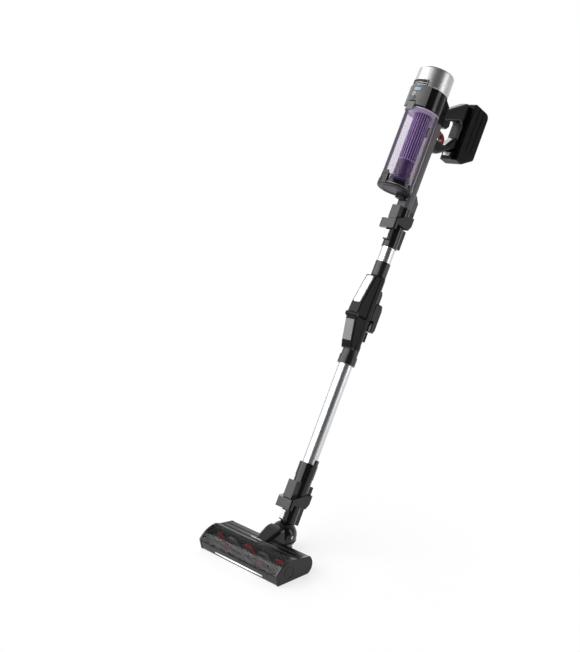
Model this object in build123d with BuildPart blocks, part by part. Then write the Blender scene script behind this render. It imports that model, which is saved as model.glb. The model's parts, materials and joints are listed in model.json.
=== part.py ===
from build123d import *
import os
from math import atan2, cos, degrees, radians, sin, sqrt

os.makedirs("parts", exist_ok=True)

# Cordless stick vacuum, leaning back as it is pushed. The floor is z = 0, the head's nose faces -Y,
# and the origin is on the floor, in the middle of the glide strip behind the brush.

# Stance and fits
LEAN = 28.9  # wand's lean back from upright, in degrees
PIVOT_Y = 84.0  # neck pivot behind the origin
PIVOT_Z = 35.0  # neck pivot above the floor
GAP = 0.4  # between pieces that move past each other
FIT = 0.05  # radial clearance of a pin or shaft in its bore
SEAT = 0.1  # between fixed pieces that nest

# Floor head
HEAD_WIDTH = 250.0
END_CAP = 6.0  # thickness of each end cap
COVER = 2.5  # wall of the window and the covers
INSET = 0.6  # covers lie this far inside the end caps' outline
SOLE_Z = 1.2  # underside of the base above the floor
TOE_Y = -46.0  # foot of the front face
NOSE_Y = -51.0  # furthest point forward
NOSE_Z = 24.0
HOOD_Y = -33.0  # a point half way up the rounded hood
HOOD_Z = 39.5
CREST_Y = -4.0  # top of the hood, where the window ends
CREST_Z = 47.5
DECK_Y = 8.0  # front edge of the flat rear deck
DECK_Z = 43.5
TAIL_Y = 51.5  # furthest point back
TAIL_Z = 22.0
TAIL_TOP_Y = 44.0
TAIL_TOP_Z = 39.0
HEEL_Y = 38.0  # rear edge of the flat sole
BUMPER_TOP = 20.5  # the window stands on the front bumper
BUMPER = 4.5  # thickness of the bumper
BASE_WALL = 2.4
PLATE_TOP = 4.0  # top of the base's floor plate
RIDGE = 2.2  # radius of the long ridges on the deck

# Brush, its drive and the wheels
BRUSH_Y = -18.0
BRUSH_Z = 19.8
BRISTLE_R = 18.6
CORE_R = 12.5
BRUSH_SHAFT_R = 4.0
BRISTLE_PITCH = 200.0  # length of one turn of a bristle row
BRISTLE_WIDTH = 2.6
BRISTLE_ROWS = 4
TOP_ROW_X = 10.0  # where a row passes over the top of the core
ROOT = 0.4  # the tufts are set this deep into the core
CHAMBER_GAP = 1.5  # between the bristles and the chamber's wall
SLOT_HALF = 15.0  # half the width of the slot over the floor
BUSH_R = 8.0
BUSH_LENGTH = 5.0
PULLEY_R = 8.0  # brush pulley, under the belt
DRIVE_R = 5.0  # motor pulley, under the belt
BELT = 1.5
BELT_WIDTH = 5.0
MOTOR_Y = 24.0
MOTOR_Z = 21.0
MOTOR_R = 12.5
MOTOR_LENGTH = 40.0
MOTOR_SHAFT_R = 2.0
WHEEL_R = 8.0
WHEEL_WIDTH = 8.0
WHEEL_INSET = 16.0  # the wheels stand this far inside the motor's end
WHEEL_Y = 27.0
AXLE_R = 2.0
LED_HALF = 76.0
LED_Z = 7.0
LED_HEIGHT = 3.6

# Neck
BALL_R = 30.0
BALL_WALL = 4.0
CUP_WALL = 1.2
CUP_TOP = 22.0
CUP_LOW = 2.4
PEDESTAL_R = 20.0  # round foot under the cup
PEDESTAL = 10.0
SADDLE_FRONT_Y = 17.5
SADDLE_FRONT_HALF = 19.0
SADDLE_TOP_HALF = 24.0
SADDLE_TOP_Y = 57.0
SADDLE_TOP_Z = 59.5
NECK_PIN_R = 4.0
POST_HALF = 6.0  # half the thickness of the post that carries the neck's pin
SPIGOT_R = 14.5  # swivel spigot on the ball
SPIGOT_LENGTH = 18.0
PITCH_FORWARD = 28.0  # the wand tips up to upright
PITCH_BACK = 45.0  # and down towards the floor

# Wand, measured along it
TUBE_R = 16.0
TUBE_WALL = 1.2
NECK_R = 17.0
NECK_TOP = 66.0  # from the pivot to the top of the neck
SOCKET_SLEEVE = 64.0  # lower socket up to its collar
SOCKET_COLLAR = 32.0
LOWER_TUBE = 234.0  # bare length of the lower tube
FLEX_COLLAR = 48.0
FLEX_RING = 20.0  # thick foot of that collar
FLEX_LOWER = 60.5  # lower half of the bending joint
FLEX_UPPER = 99.5  # upper half
FLEX_NECK = 38.0
UPPER_TUBE = 36.0  # bare length of the upper tube
PLUG_LENGTH = 52.0
NOZZLE_LENGTH = 45.0
PLUG_R = 15.2  # spigots that push into the sockets
PLUG_REACH = 38.0
FLANGE = 27.0
FLANGE_HALF = 23.0
FLANGE_FRONT = 34.5
FLANGE_BACK = 25.5
FLANGE_CORNER = 5.0
FLANGE_LIP = 13.0  # the flanges hang this much lower in front
FLANGE_RISE = 18.0  # and this much higher behind
SOCKET_BLOCK = 30.5  # front of the block above the lower flange
NOZZLE_BLOCK = 26.0  # front of the block above the upper flange
RIB_BACK = 27.0  # ribs behind the neck and the plug
RIB_HALF = 9.0
HEEL_BACK = 30.0  # block behind the lower socket
HEEL_HALF = 10.0
HEEL_HEIGHT = 50.0
FOOT_BACK = 28.0  # bulge behind the spine's foot
FOOT_HALF = 13.0
FOOT_HEIGHT = 40.0

# Bending joint
KNEE_FRONT = 38.0  # hinge ahead of the wand's axis
KNEE_R = 6.0
KNEE_PIN_R = 3.0
KNEE_HALF = 16.0
KNUCKLE_HALF = 5.0  # half the width of the middle knuckle
FLEX_R = 19.5
HOSE_R = 13.0
HOSE_WALL = 1.6
BULGE_BACK = 36.0
BULGE_HALF = 17.0
FIN_BACK = 27.0  # fin above the bulge
FIN_HALF = 8.0
FIN_HIGH = 76.0

# Release buttons
BUTTON_HALF = 5.6
BUTTON_LENGTH = 21.0
BUTTON_FRONT = 26.0
BUTTON_TRAVEL = 2.5
BOSS_FRONT = 22.5
BOSS_HALF = 8.5
FLEX_BUTTON_HALF = 10.5
FLEX_BUTTON_LENGTH = 70.0

# Handheld unit
BIN_FRONT = 51.8  # bin's axis ahead of the wand's axis
BIN_R = 40.0
BIN_WALL = 2.0
BIN_LENGTH = 185.0
LID_GAP = 23.0  # between the nozzle and the lid
LID = 3.7
LID_SEAL = 1.0
COLLAR_R = 40.9
COLLAR_HEIGHT = 10.0
BAND_R = 41.0
BAND_HEIGHT = 49.0
BAND_WALL = 3.0
CAP_R = 42.5
CAP_HEIGHT = 51.0
CAP_WALL = 2.0
SPINE_R = 17.5
SPINE_BORE_R = 9.5
SPINE_BORE_BACK = 5.5
BACK_R = 19.0  # rear of the band, around the spine
CORE_BACK = 6.0  # cyclone behind the bin's axis
CYCLONE_R = 20.0
SHROUD = 116.0  # length of the slats
CONE = 40.0  # plain tube below them
SKIRT = 6.0  # rim under that tube
SLATS = 22
SUCTION_R = 27.0
IMPELLER_R = 24.0
FILTER_R = 34.0
PANEL = 4.5
PANEL_ANGLE = 44.0
TAB = 2.5  # tab over the cap's edge
TAB_ANGLE = 28.0
LID_HINGE_R = 3.5
LID_PIN_R = 1.5
LID_LUG_IN = 8.0  # hinge lugs on the collar, across the wand
LID_LUG_OUT = 12.0

# Handle and battery
GRIP_HALF = 13.5
GRIP_FRONT = -73.0  # front of the rear post, behind the wand's axis
GRIP_BACK = -86.0
GRIP_SKIN = 2.0
GRIP_CORNER = 4.5
ARM_RISE = 94.0  # handle's top above the bin
ARM_DROP = 60.0  # and its foot below the bin's top
GROOVES = 9  # round the soft grip
GROOVE = 0.6
GROOVE_WIDTH = 1.1
BATTERY_BACK = -147.5
BATTERY_HALF = 26.0
BATTERY_HEIGHT = 146.0
BATTERY_FOOT = 15.5  # height of the foot under the lower arm
FOOT_CHAMFER = 5.5
ARM_CLEAR = 10.5  # from the foot up to the lowest corner of the post
RAIL_HALF = 8.0
RAIL = 2.2
CELL_R = 9.0
CELL_LENGTH = 65.0
CELL_SPACE = 1.0  # half the space between cells
CELL_ROOM_BACK = 14.0  # thickness behind the cells
CELL_FLOOR = 30.0  # height below the cells
JACK_R = 2.75
JACK_DEPTH = 9.5

BASE = (Align.CENTER, Align.CENTER, Align.MIN)

# Directions and planes of the wand
UP = Vector(0, sin(radians(LEAN)), cos(radians(LEAN)))
BACK = Vector(0, cos(radians(LEAN)), -sin(radians(LEAN)))
PIVOT = Vector(0, PIVOT_Y, PIVOT_Z)
WAND = Plane(origin=PIVOT, x_dir=(1, 0, 0), z_dir=UP)
SIDE = Plane(origin=PIVOT, x_dir=BACK, z_dir=(1, 0, 0))

# Heights along the wand, counted from the pivot
BALL_TOP = sqrt(BALL_R**2 - (SPIGOT_R + 1.3) ** 2)
COLLAR_LOW = NECK_TOP + SOCKET_SLEEVE
TUBE_LOW = COLLAR_LOW + SOCKET_COLLAR
FLEX_LOW = TUBE_LOW + LOWER_TUBE
FLEX_BODY = FLEX_LOW + FLEX_COLLAR
KNEE = FLEX_BODY + FLEX_LOWER
FLEX_HIGH = KNEE + FLEX_UPPER
FLEX_TOP = FLEX_HIGH + FLEX_NECK
PLUG_LOW = FLEX_TOP + UPPER_TUBE
PLUG_TOP = PLUG_LOW + PLUG_LENGTH
NOZZLE_TOP = PLUG_TOP + NOZZLE_LENGTH
LID_LOW = NOZZLE_TOP + LID_GAP
LID_TOP = LID_LOW + LID
BIN_LOW = LID_TOP + LID_SEAL + GAP
BIN_TOP = BIN_LOW + BIN_LENGTH
BAND_TOP = BIN_TOP + BAND_HEIGHT
CAP_TOP = BAND_TOP + CAP_HEIGHT

INNER = HEAD_WIDTH / 2 - END_CAP  # inner faces of the end caps
CHAMBER_R = BRISTLE_R + CHAMBER_GAP


def at(front, up):
    """Row y and z of a point this far ahead of the wand's axis and up along the wand."""
    point = PIVOT - BACK * front + UP * up
    return point.Y, point.Z


def bar(radius, x, y, z, mode=Mode.ADD):
    """Round bar along X between two x values, through y and z."""
    with Locations(Plane(origin=(x[0], y, z), z_dir=(1, 0, 0))):
        Cylinder(radius, x[1] - x[0], align=BASE, mode=mode)


def cross_bar(radius, x, front, up, mode=Mode.ADD):
    """Round bar across the wand between two x values."""
    bar(radius, x, *at(front, up), mode=mode)


def block(x, y, z, mode=Mode.ADD):
    """Box between two values along each axis."""
    with Locations(((x[0] + x[1]) / 2, (y[0] + y[1]) / 2, (z[0] + z[1]) / 2)):
        Box(x[1] - x[0], y[1] - y[0], z[1] - z[0], mode=mode)


def wand_bar(radius, low, high, front=0.0, mode=Mode.ADD):
    """Round bar along the wand between two heights."""
    with Locations(WAND.offset(low).location * Location((0, -front, 0))):
        Cylinder(radius, high - low, align=BASE, mode=mode)


def wand_block(x, front, up, mode=Mode.ADD):
    """Box square to the wand between two values across, ahead and along."""
    middle = ((x[0] + x[1]) / 2, -(front[0] + front[1]) / 2, (up[0] + up[1]) / 2)
    with Locations(WAND.location * Location(middle)):
        Box(x[1] - x[0], front[1] - front[0], up[1] - up[0], mode=mode)


def head_face(inset):
    """Side outline of the head, drawn in by an inset."""
    with BuildSketch() as sketch:
        with BuildLine():
            Line((TOE_Y, SOLE_Z), (NOSE_Y, NOSE_Z))
            ThreePointArc((NOSE_Y, NOSE_Z), (HOOD_Y, HOOD_Z), (CREST_Y, CREST_Z))
            Polyline((CREST_Y, CREST_Z), (DECK_Y, DECK_Z), (TAIL_TOP_Y, TAIL_TOP_Z))
            ThreePointArc((TAIL_TOP_Y, TAIL_TOP_Z), (TAIL_Y, TAIL_Z), (HEEL_Y, SOLE_Z))
            Line((HEEL_Y, SOLE_Z), (TOE_Y, SOLE_Z))
        make_face()
        if inset:
            offset(amount=-inset, kind=Kind.INTERSECTION)
    return sketch.sketch_local


def section(y, z):
    """Rectangle of the head's side section between two values along each axis."""
    with BuildSketch() as sketch:
        with Locations(((y[0] + y[1]) / 2, (z[0] + z[1]) / 2)):
            Rectangle(y[1] - y[0], z[1] - z[0])
    return sketch.sketch_local


def side_face(*points, radii=None):
    """Side profile through points given as distance ahead of and along the wand."""
    with BuildSketch(SIDE) as sketch:
        with BuildLine():
            corners = [(-front, up) for front, up in points]
            if radii:
                FilletPolyline(*corners, radius=radii, close=True)
            else:
                Polyline(*corners, close=True)
        make_face()
    return sketch.sketch


def flange_face(low):
    """Side profile of a coupling's flange, which slopes up from front to back."""
    return side_face(
        (FLANGE_FRONT, low - FLANGE_LIP),
        (FLANGE_FRONT, low + FLANGE / 3),
        (0, low + FLANGE),
        (-FLANGE_BACK, low + FLANGE + 6),
        (-FLANGE_BACK, low + FLANGE_RISE),
        (2 - NECK_R, low),
        (BOSS_FRONT + 1, low),
        (BOSS_FRONT + 2, low - FLANGE_LIP),
    )


def flange_corners(part):
    """Four outer corners of a flange, along the wand."""
    outer = part.edges().filter_by(Axis(PIVOT, UP))
    return outer.filter_by(lambda edge: abs(edge.center().X) > FLANGE_HALF - 0.1)


# Floor head: base with its floor plate, front wall, chamber wall and rear shell
BELT_LOW = -INNER + BUSH_LENGTH + 2.0  # belt's side of the head, along X
BELT_HIGH = BELT_LOW + BELT_WIDTH
BRUSH_LOW = BELT_HIGH + 3.5  # ends of the bristles, along X
BRUSH_HIGH = INNER - BUSH_LENGTH - 3.0
AIRWAY_HALF = 14.0
motor_low = BELT_HIGH + 6.0
motor_high = motor_low + MOTOR_LENGTH
WHEEL_X = -motor_high - WHEEL_INSET

with BuildPart() as head_base:
    with BuildSketch(Plane.YZ) as base_section:
        add(head_face(INSET))
        add(head_face(INSET + COVER), mode=Mode.SUBTRACT)
        add(section((HEEL_Y - 10, TAIL_Y), (SOLE_Z, BUMPER_TOP)), mode=Mode.INTERSECT)
        front_wall = TOE_Y + BUMPER - INSET
        add(section((front_wall, HEEL_Y), (SOLE_Z, PLATE_TOP)))
        add(section((front_wall, front_wall + BASE_WALL), (SOLE_Z, BUMPER_TOP)))
        with Locations((BRUSH_Y, BRUSH_Z)):
            Circle(CHAMBER_R)
        add(section((BRUSH_Y, BRUSH_Y + CHAMBER_R + BASE_WALL), (SOLE_Z, DECK_Z - COVER - 2)))
        with Locations((BRUSH_Y, BRUSH_Z)):
            Circle(CHAMBER_R, mode=Mode.SUBTRACT)
        hollow = (BRUSH_Y - CHAMBER_R, BRUSH_Y + CHAMBER_R)
        add(section(hollow, (BRUSH_Z, CREST_Z)), mode=Mode.SUBTRACT)
    extrude(amount=INNER - SEAT, both=True)
    slot = (BRUSH_Y - SLOT_HALF, BRUSH_Y + SLOT_HALF)
    block((BRUSH_LOW - 1, BRUSH_HIGH + 1), slot, (0, PLATE_TOP + 2), mode=Mode.SUBTRACT)
    for end in ((SEAT - INNER, BRUSH_LOW - 1), (BRUSH_HIGH + 1, INNER - SEAT)):
        block(end, hollow, (SOLE_Z, PLATE_TOP))
    bay = (front_wall + BASE_WALL, HEEL_Y - 3)
    block((-INNER, BRUSH_LOW - 1), bay, (PLATE_TOP, CREST_Z), mode=Mode.SUBTRACT)
    airway = (BRUSH_Y + SLOT_HALF, TAIL_Y)
    block((-AIRWAY_HALF, AIRWAY_HALF), airway, (PLATE_TOP + 4, BUMPER_TOP - 2), mode=Mode.SUBTRACT)
    for side in (-1, 1):
        wheel = side * WHEEL_X
        for edge in (-1, 1):
            cheek = wheel + edge * (WHEEL_WIDTH / 2 + GAP + BASE_WALL / 2)
            cheek_y = (WHEEL_Y - 2 * AXLE_R, WHEEL_Y + 2 * AXLE_R)
            block((cheek - BASE_WALL / 2, cheek + BASE_WALL / 2), cheek_y, (SOLE_Z, WHEEL_R + 2 * AXLE_R))
        well = (wheel - WHEEL_WIDTH / 2 - GAP, wheel + WHEEL_WIDTH / 2 + GAP)
        well_y = (WHEEL_Y - WHEEL_R - 1, WHEEL_Y + WHEEL_R + 1)
        block(well, well_y, (0, PLATE_TOP + COVER), mode=Mode.SUBTRACT)
        reach = WHEEL_WIDTH / 2 + GAP + BASE_WALL
        bar(AXLE_R + SEAT / 2, (wheel - reach, wheel + reach), WHEEL_Y, WHEEL_R, mode=Mode.SUBTRACT)
    for cradle in (motor_low + 6, motor_high - 6):
        cradle_y = (MOTOR_Y - MOTOR_R, MOTOR_Y + MOTOR_R)
        block((cradle - 2, cradle + 2), cradle_y, (SOLE_Z, MOTOR_Z - MOTOR_R / 2))
    bar(MOTOR_R + SEAT, (motor_low - 1, motor_high + 1), MOTOR_Y, MOTOR_Z, mode=Mode.SUBTRACT)
head_base.part.label = "head_base"
export_step(head_base.part, "parts/head_base.step")

# Smoked window over the brush, from the bumper to the crest
with BuildPart() as brush_window:
    with BuildSketch(Plane.YZ):
        add(head_face(INSET))
        add(head_face(INSET + COVER), mode=Mode.SUBTRACT)
        window = section((NOSE_Y, CREST_Y - SEAT), (BUMPER_TOP + SEAT, CREST_Z))
        add(window, mode=Mode.INTERSECT)
    extrude(amount=INNER - SEAT, both=True)
brush_window.part.label = "brush_window"
export_step(brush_window.part, "parts/brush_window.step")

# Rear cover of the head, with two long ridges on its deck
deck_slope = (TAIL_TOP_Z - DECK_Z) / (TAIL_TOP_Y - DECK_Y)
ridges = [(DECK_Y + back, DECK_Z + deck_slope * back - INSET - RIDGE / 2) for back in (4, 20)]

with BuildPart() as head_top_cover:
    with BuildSketch(Plane.YZ):
        add(head_face(INSET))
        add(head_face(INSET + COVER), mode=Mode.SUBTRACT)
        deck = section((CREST_Y + SEAT, TAIL_Y), (BUMPER_TOP + SEAT, CREST_Z))
        add(deck, mode=Mode.INTERSECT)
        with Locations(*ridges):
            Circle(RIDGE)
    extrude(amount=INNER - SEAT, both=True)
head_top_cover.part.label = "head_top_cover"
export_step(head_top_cover.part, "parts/head_top_cover.step")

# End caps, each with a boss that holds a brush bush
for side, name in ((-1, "end_cap_left"), (1, "end_cap_right")):
    with BuildPart() as end_cap:
        with BuildSketch(Plane.YZ.offset(side * INNER)):
            add(head_face(0))
        extrude(amount=side * END_CAP)
        rim = end_cap.faces().sort_by(Axis.X)[-1 if side > 0 else 0]
        fillet(rim.edges(), radius=1.6)
        boss = sorted((side * INNER, side * (INNER - BUSH_LENGTH)))
        bar(BUSH_R + 3, boss, BRUSH_Y, BRUSH_Z)
        bar(BUSH_R + SEAT / 2, boss, BRUSH_Y, BRUSH_Z, mode=Mode.SUBTRACT)
        mark = sorted((side * (HEAD_WIDTH / 2), side * (HEAD_WIDTH / 2 - 0.8)))
        bar(13.0, mark, BRUSH_Y + 2, BRUSH_Z + 3, mode=Mode.SUBTRACT)
        bar(11.6, mark, BRUSH_Y + 2, BRUSH_Z + 3)
    end_cap.part.label = name
    export_step(end_cap.part, f"parts/{name}.step")

# Front bumper with a shallow recess, and the lamp strip in its slot
with BuildPart() as front_bumper:
    with BuildSketch(Plane.YZ):
        add(head_face(INSET))
        add(section((NOSE_Y, TOE_Y + BUMPER - INSET - SEAT), (SOLE_Z, BUMPER_TOP)), mode=Mode.INTERSECT)
    extrude(amount=INNER - SEAT, both=True)
    lamp_slot = (LED_Z - LED_HEIGHT / 2 - SEAT, LED_Z + LED_HEIGHT / 2 + SEAT)
    lamp_back = TOE_Y + 1.6
    block((-LED_HALF - SEAT, LED_HALF + SEAT), (NOSE_Y, lamp_back + SEAT), lamp_slot, mode=Mode.SUBTRACT)
front_bumper.part.label = "front_bumper"
export_step(front_bumper.part, "parts/front_bumper.step")

with BuildPart() as led_lens:
    with BuildSketch(Plane.YZ):
        add(head_face(INSET + 0.4))
        lamp_z = (LED_Z - LED_HEIGHT / 2, LED_Z + LED_HEIGHT / 2)
        add(section((NOSE_Y, lamp_back), lamp_z), mode=Mode.INTERSECT)
    extrude(amount=LED_HALF, both=True)
led_lens.part.label = "led_lens"
export_step(led_lens.part, "parts/led_lens.step")

# Felt strip that the head glides on, behind the brush slot
with BuildPart() as glide_strip:
    strip_y = (BRUSH_Y + SLOT_HALF + 0.5, BRUSH_Y + SLOT_HALF + 11)
    block((BRUSH_LOW, BRUSH_HIGH), strip_y, (0, SOLE_Z))
glide_strip.part.label = "glide_strip"
export_step(glide_strip.part, "parts/glide_strip.step")

# Brush roll: core, shaft and pulley in one turned piece
with BuildPart() as brush_core:
    bar(CORE_R, (BRUSH_LOW, BRUSH_HIGH), BRUSH_Y, BRUSH_Z)
    bar(BRUSH_SHAFT_R, (-INNER + GAP, INNER - GAP), BRUSH_Y, BRUSH_Z)
    bar(PULLEY_R, (BELT_LOW, BELT_HIGH), BRUSH_Y, BRUSH_Z)
    flange_r = PULLEY_R + BELT + 1
    bar(flange_r, (BELT_HIGH + GAP, BELT_HIGH + 2), BRUSH_Y, BRUSH_Z)
    bar(PULLEY_R, (BELT_HIGH, BRUSH_LOW), BRUSH_Y, BRUSH_Z)
brush_core.part.label = "brush_core"
export_step(brush_core.part, "parts/brush_core.step")

# Bristle rows, wound round the core
with BuildPart() as bristle_rows:
    length = BRUSH_HIGH - BRUSH_LOW - 2
    mid_r = (CORE_R - ROOT + BRISTLE_R) / 2
    row_start = (BRUSH_LOW + 1, BRUSH_Y, BRUSH_Z)
    with BuildLine() as row_line:
        Helix(BRISTLE_PITCH, length, mid_r, center=row_start, direction=(1, 0, 0))
    begin = row_line.line @ 0
    wound = 360 * (TOP_ROW_X - row_start[0]) / BRISTLE_PITCH
    begin_turn = degrees(atan2(begin.Z - BRUSH_Z, begin.Y - BRUSH_Y))
    for row in range(BRISTLE_ROWS):
        turn = 90 - wound - begin_turn + row * 360 / BRISTLE_ROWS
        path = row_line.line.rotate(Axis(row_start, (1, 0, 0)), turn)
        foot = path @ 0
        out = Vector(0, foot.Y - BRUSH_Y, foot.Z - BRUSH_Z)
        with BuildSketch(Plane(origin=foot, x_dir=out, z_dir=path % 0)):
            Rectangle(BRISTLE_R - CORE_R + ROOT, BRISTLE_WIDTH)
        sweep(path=path, is_frenet=True)
bristle_rows.part.label = "bristle_rows"
export_step(bristle_rows.part, "parts/bristle_rows.step")

# Bushes at both ends of the brush shaft
with BuildPart() as brush_bushes:
    for side in (-1, 1):
        span = sorted((side * (INNER - SEAT), side * (INNER - BUSH_LENGTH)))
        bar(BUSH_R, span, BRUSH_Y, BRUSH_Z)
        bar(BRUSH_SHAFT_R + FIT, span, BRUSH_Y, BRUSH_Z, mode=Mode.SUBTRACT)
brush_bushes.part.label = "brush_bushes"
export_step(brush_bushes.part, "parts/brush_bushes.step")

# Brush motor, its pulley and the belt
with BuildPart() as head_motor:
    bar(MOTOR_R, (motor_low, motor_high), MOTOR_Y, MOTOR_Z)
    bar(MOTOR_SHAFT_R + FIT, (motor_low, motor_low + 10), MOTOR_Y, MOTOR_Z, mode=Mode.SUBTRACT)
head_motor.part.label = "head_motor"
export_step(head_motor.part, "parts/head_motor.step")

with BuildPart() as motor_pulley:
    bar(DRIVE_R, (BELT_LOW, BELT_HIGH + 1), MOTOR_Y, MOTOR_Z)
    bar(DRIVE_R + BELT + 1, (BELT_HIGH + GAP, BELT_HIGH + 2), MOTOR_Y, MOTOR_Z)
    bar(MOTOR_SHAFT_R, (BELT_HIGH, motor_low + 8), MOTOR_Y, MOTOR_Z)
motor_pulley.part.label = "motor_pulley"
export_step(motor_pulley.part, "parts/motor_pulley.step")

with BuildPart() as drive_belt:
    for grow, mode in ((GAP + BELT, Mode.ADD), (GAP, Mode.SUBTRACT)):
        with BuildSketch(Plane.YZ.offset(BELT_LOW)):
            with Locations((BRUSH_Y, BRUSH_Z)):
                Circle(PULLEY_R + grow)
            with Locations((MOTOR_Y, MOTOR_Z)):
                Circle(DRIVE_R + grow)
            make_hull()
        extrude(amount=BELT_WIDTH, mode=mode)
drive_belt.part.label = "drive_belt"
export_step(drive_belt.part, "parts/drive_belt.step")

# Rear wheels on their axles
for side, name in ((-1, "wheel_left"), (1, "wheel_right")):
    with BuildPart() as wheel:
        span = (side * WHEEL_X - WHEEL_WIDTH / 2, side * WHEEL_X + WHEEL_WIDTH / 2)
        bar(WHEEL_R, span, WHEEL_Y, WHEEL_R)
        fillet(wheel.edges(), radius=1.5)
        bar(AXLE_R + FIT, span, WHEEL_Y, WHEEL_R, mode=Mode.SUBTRACT)
    wheel.part.label = name
    export_step(wheel.part, f"parts/{name}.step")

with BuildPart() as wheel_axles:
    for side in (-1, 1):
        span = (side * WHEEL_X - reach, side * WHEEL_X + reach)
        bar(AXLE_R, span, WHEEL_Y, WHEEL_R)
wheel_axles.part.label = "wheel_axles"
export_step(wheel_axles.part, "parts/wheel_axles.step")

# Saddle on the head: a ramp, a cup round the neck's ball and a post that carries its pin
CUP_R = BALL_R + GAP + CUP_WALL
POST_ANGLE = 16.0  # half the post as seen from the pivot, with room
SLOT_FRONT = PITCH_FORWARD + POST_ANGLE  # the ball's lower slot, in degrees from below
SLOT_BACK = PITCH_BACK + POST_ANGLE

with BuildPart() as neck_saddle:
    with BuildSketch(Plane.YZ):
        with BuildLine():
            Polyline(
                (SADDLE_FRONT_Y, DECK_Z - 16),
                (SADDLE_FRONT_Y, DECK_Z - 1),
                (SADDLE_TOP_Y, SADDLE_TOP_Z),
                (SADDLE_TOP_Y + 9, SADDLE_TOP_Z + 0.5),
                (SADDLE_TOP_Y + 9, CUP_LOW),
                (HEEL_Y, CUP_LOW),
                close=True,
            )
        make_face()
    extrude(amount=CUP_R, both=True)
    with BuildSketch(Plane.XY):
        with BuildLine():
            Polyline(
                (-SADDLE_FRONT_HALF, SADDLE_FRONT_Y),
                (SADDLE_FRONT_HALF, SADDLE_FRONT_Y),
                (SADDLE_TOP_HALF, SADDLE_TOP_Y - 5),
                (SADDLE_TOP_HALF, PIVOT_Y),
                (-SADDLE_TOP_HALF, PIVOT_Y),
                (-SADDLE_TOP_HALF, SADDLE_TOP_Y - 5),
                close=True,
            )
        make_face()
    extrude(amount=SADDLE_TOP_Z + 10, mode=Mode.INTERSECT)
    ramp = neck_saddle.faces().filter_by(lambda face: face.normal_at().Z > 0.8)
    fillet(ramp.edges().filter_by(lambda edge: abs(edge.center().X) > 10), radius=9.0)
    with BuildSketch(Plane(origin=PIVOT, x_dir=(1, 0, 0), z_dir=(0, -1, 0))):
        Circle(CUP_R)
        with Locations((0, CUP_TOP - PIVOT_Z)):
            Rectangle(2 * CUP_R, 2 * CUP_R, align=(Align.CENTER, Align.MIN), mode=Mode.SUBTRACT)
        with Locations((0, CUP_LOW - PIVOT_Z)):
            Rectangle(2 * CUP_R, CUP_R, align=(Align.CENTER, Align.MAX), mode=Mode.SUBTRACT)
            Rectangle(2 * PEDESTAL_R, PEDESTAL, align=(Align.CENTER, Align.MIN))
        with Locations((-CUP_R, 0)):
            Rectangle(2 * CUP_R, 4 * CUP_R, mode=Mode.SUBTRACT)
    revolve(axis=Axis(PIVOT, (0, 0, 1)))
    with Locations(PIVOT):
        Sphere(BALL_R + GAP, mode=Mode.SUBTRACT)
    extrude(Plane.YZ * head_face(INSET - SEAT), amount=HEAD_WIDTH / 2, both=True, mode=Mode.SUBTRACT)
    for ridge in ridges:
        bar(RIDGE + SEAT, (-CUP_R, CUP_R), *ridge, mode=Mode.SUBTRACT)
    duct_y = (HEEL_Y, PIVOT_Y - 12)
    block((-AIRWAY_HALF, AIRWAY_HALF), duct_y, (PLATE_TOP + 4, BUMPER_TOP - 2), mode=Mode.SUBTRACT)
    post_y = (PIVOT_Y - NECK_PIN_R - 1.5, PIVOT_Y + NECK_PIN_R + 1.5)
    block((-POST_HALF, POST_HALF), post_y, (CUP_LOW, PIVOT_Z))
    bar(NECK_PIN_R + 1.5, (-POST_HALF, POST_HALF), PIVOT_Y, PIVOT_Z)
    bar(NECK_PIN_R + SEAT / 4, (-POST_HALF, POST_HALF), PIVOT_Y, PIVOT_Z, mode=Mode.SUBTRACT)
neck_saddle.part.label = "neck_saddle"
export_step(neck_saddle.part, "parts/neck_saddle.step")

with BuildPart() as neck_pin:
    pin_end = sqrt(BALL_R**2 - NECK_PIN_R**2) - 1
    bar(NECK_PIN_R, (-pin_end, pin_end), PIVOT_Y, PIVOT_Z)
neck_pin.part.label = "neck_pin"
export_step(neck_pin.part, "parts/neck_pin.step")

# Ball of the neck: hollow, open below for the post, with the swivel spigot on top
with BuildPart() as neck_ball:
    with BuildSketch(SIDE):
        Circle(BALL_R)
        Circle(BALL_R - BALL_WALL, mode=Mode.SUBTRACT)
        with Locations((0, BALL_TOP)):
            Rectangle(2 * BALL_R, BALL_R, align=(Align.CENTER, Align.MIN), mode=Mode.SUBTRACT)
        with Locations((0, BALL_R / 2)):
            spigot_top = BALL_TOP + SPIGOT_LENGTH
            Rectangle(2 * SPIGOT_R, spigot_top - BALL_R / 2, align=(Align.CENTER, Align.MIN))
            Rectangle(2 * SPIGOT_R - 6, 2 * BALL_R, align=(Align.CENTER, Align.MIN), mode=Mode.SUBTRACT)
        with Locations((-BALL_R, 0)):
            Rectangle(2 * BALL_R, 4 * BALL_R, mode=Mode.SUBTRACT)
    revolve(axis=Axis(PIVOT, UP))
    for side in (-1, 1):
        span = sorted((side * (AIRWAY_HALF + 4), side * (BALL_R - BALL_WALL / 2)))
        bar(NECK_PIN_R + 4, span, PIVOT_Y, PIVOT_Z)
    with BuildSketch(Plane.YZ.offset(-AIRWAY_HALF)):
        far = 2 * BALL_R
        with BuildLine():
            Polyline(
                (PIVOT_Y, PIVOT_Z),
                (PIVOT_Y - far * sin(radians(SLOT_FRONT)), PIVOT_Z - far * cos(radians(SLOT_FRONT))),
                (PIVOT_Y, PIVOT_Z - 2 * far),
                (PIVOT_Y + far * sin(radians(SLOT_BACK)), PIVOT_Z - far * cos(radians(SLOT_BACK))),
                close=True,
            )
        make_face()
    extrude(amount=2 * AIRWAY_HALF, mode=Mode.SUBTRACT)
    bar(NECK_PIN_R + FIT, (-BALL_R, BALL_R), PIVOT_Y, PIVOT_Z, mode=Mode.SUBTRACT)
neck_ball.part.label = "neck_ball"
export_step(neck_ball.part, "parts/neck_ball.step")

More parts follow.
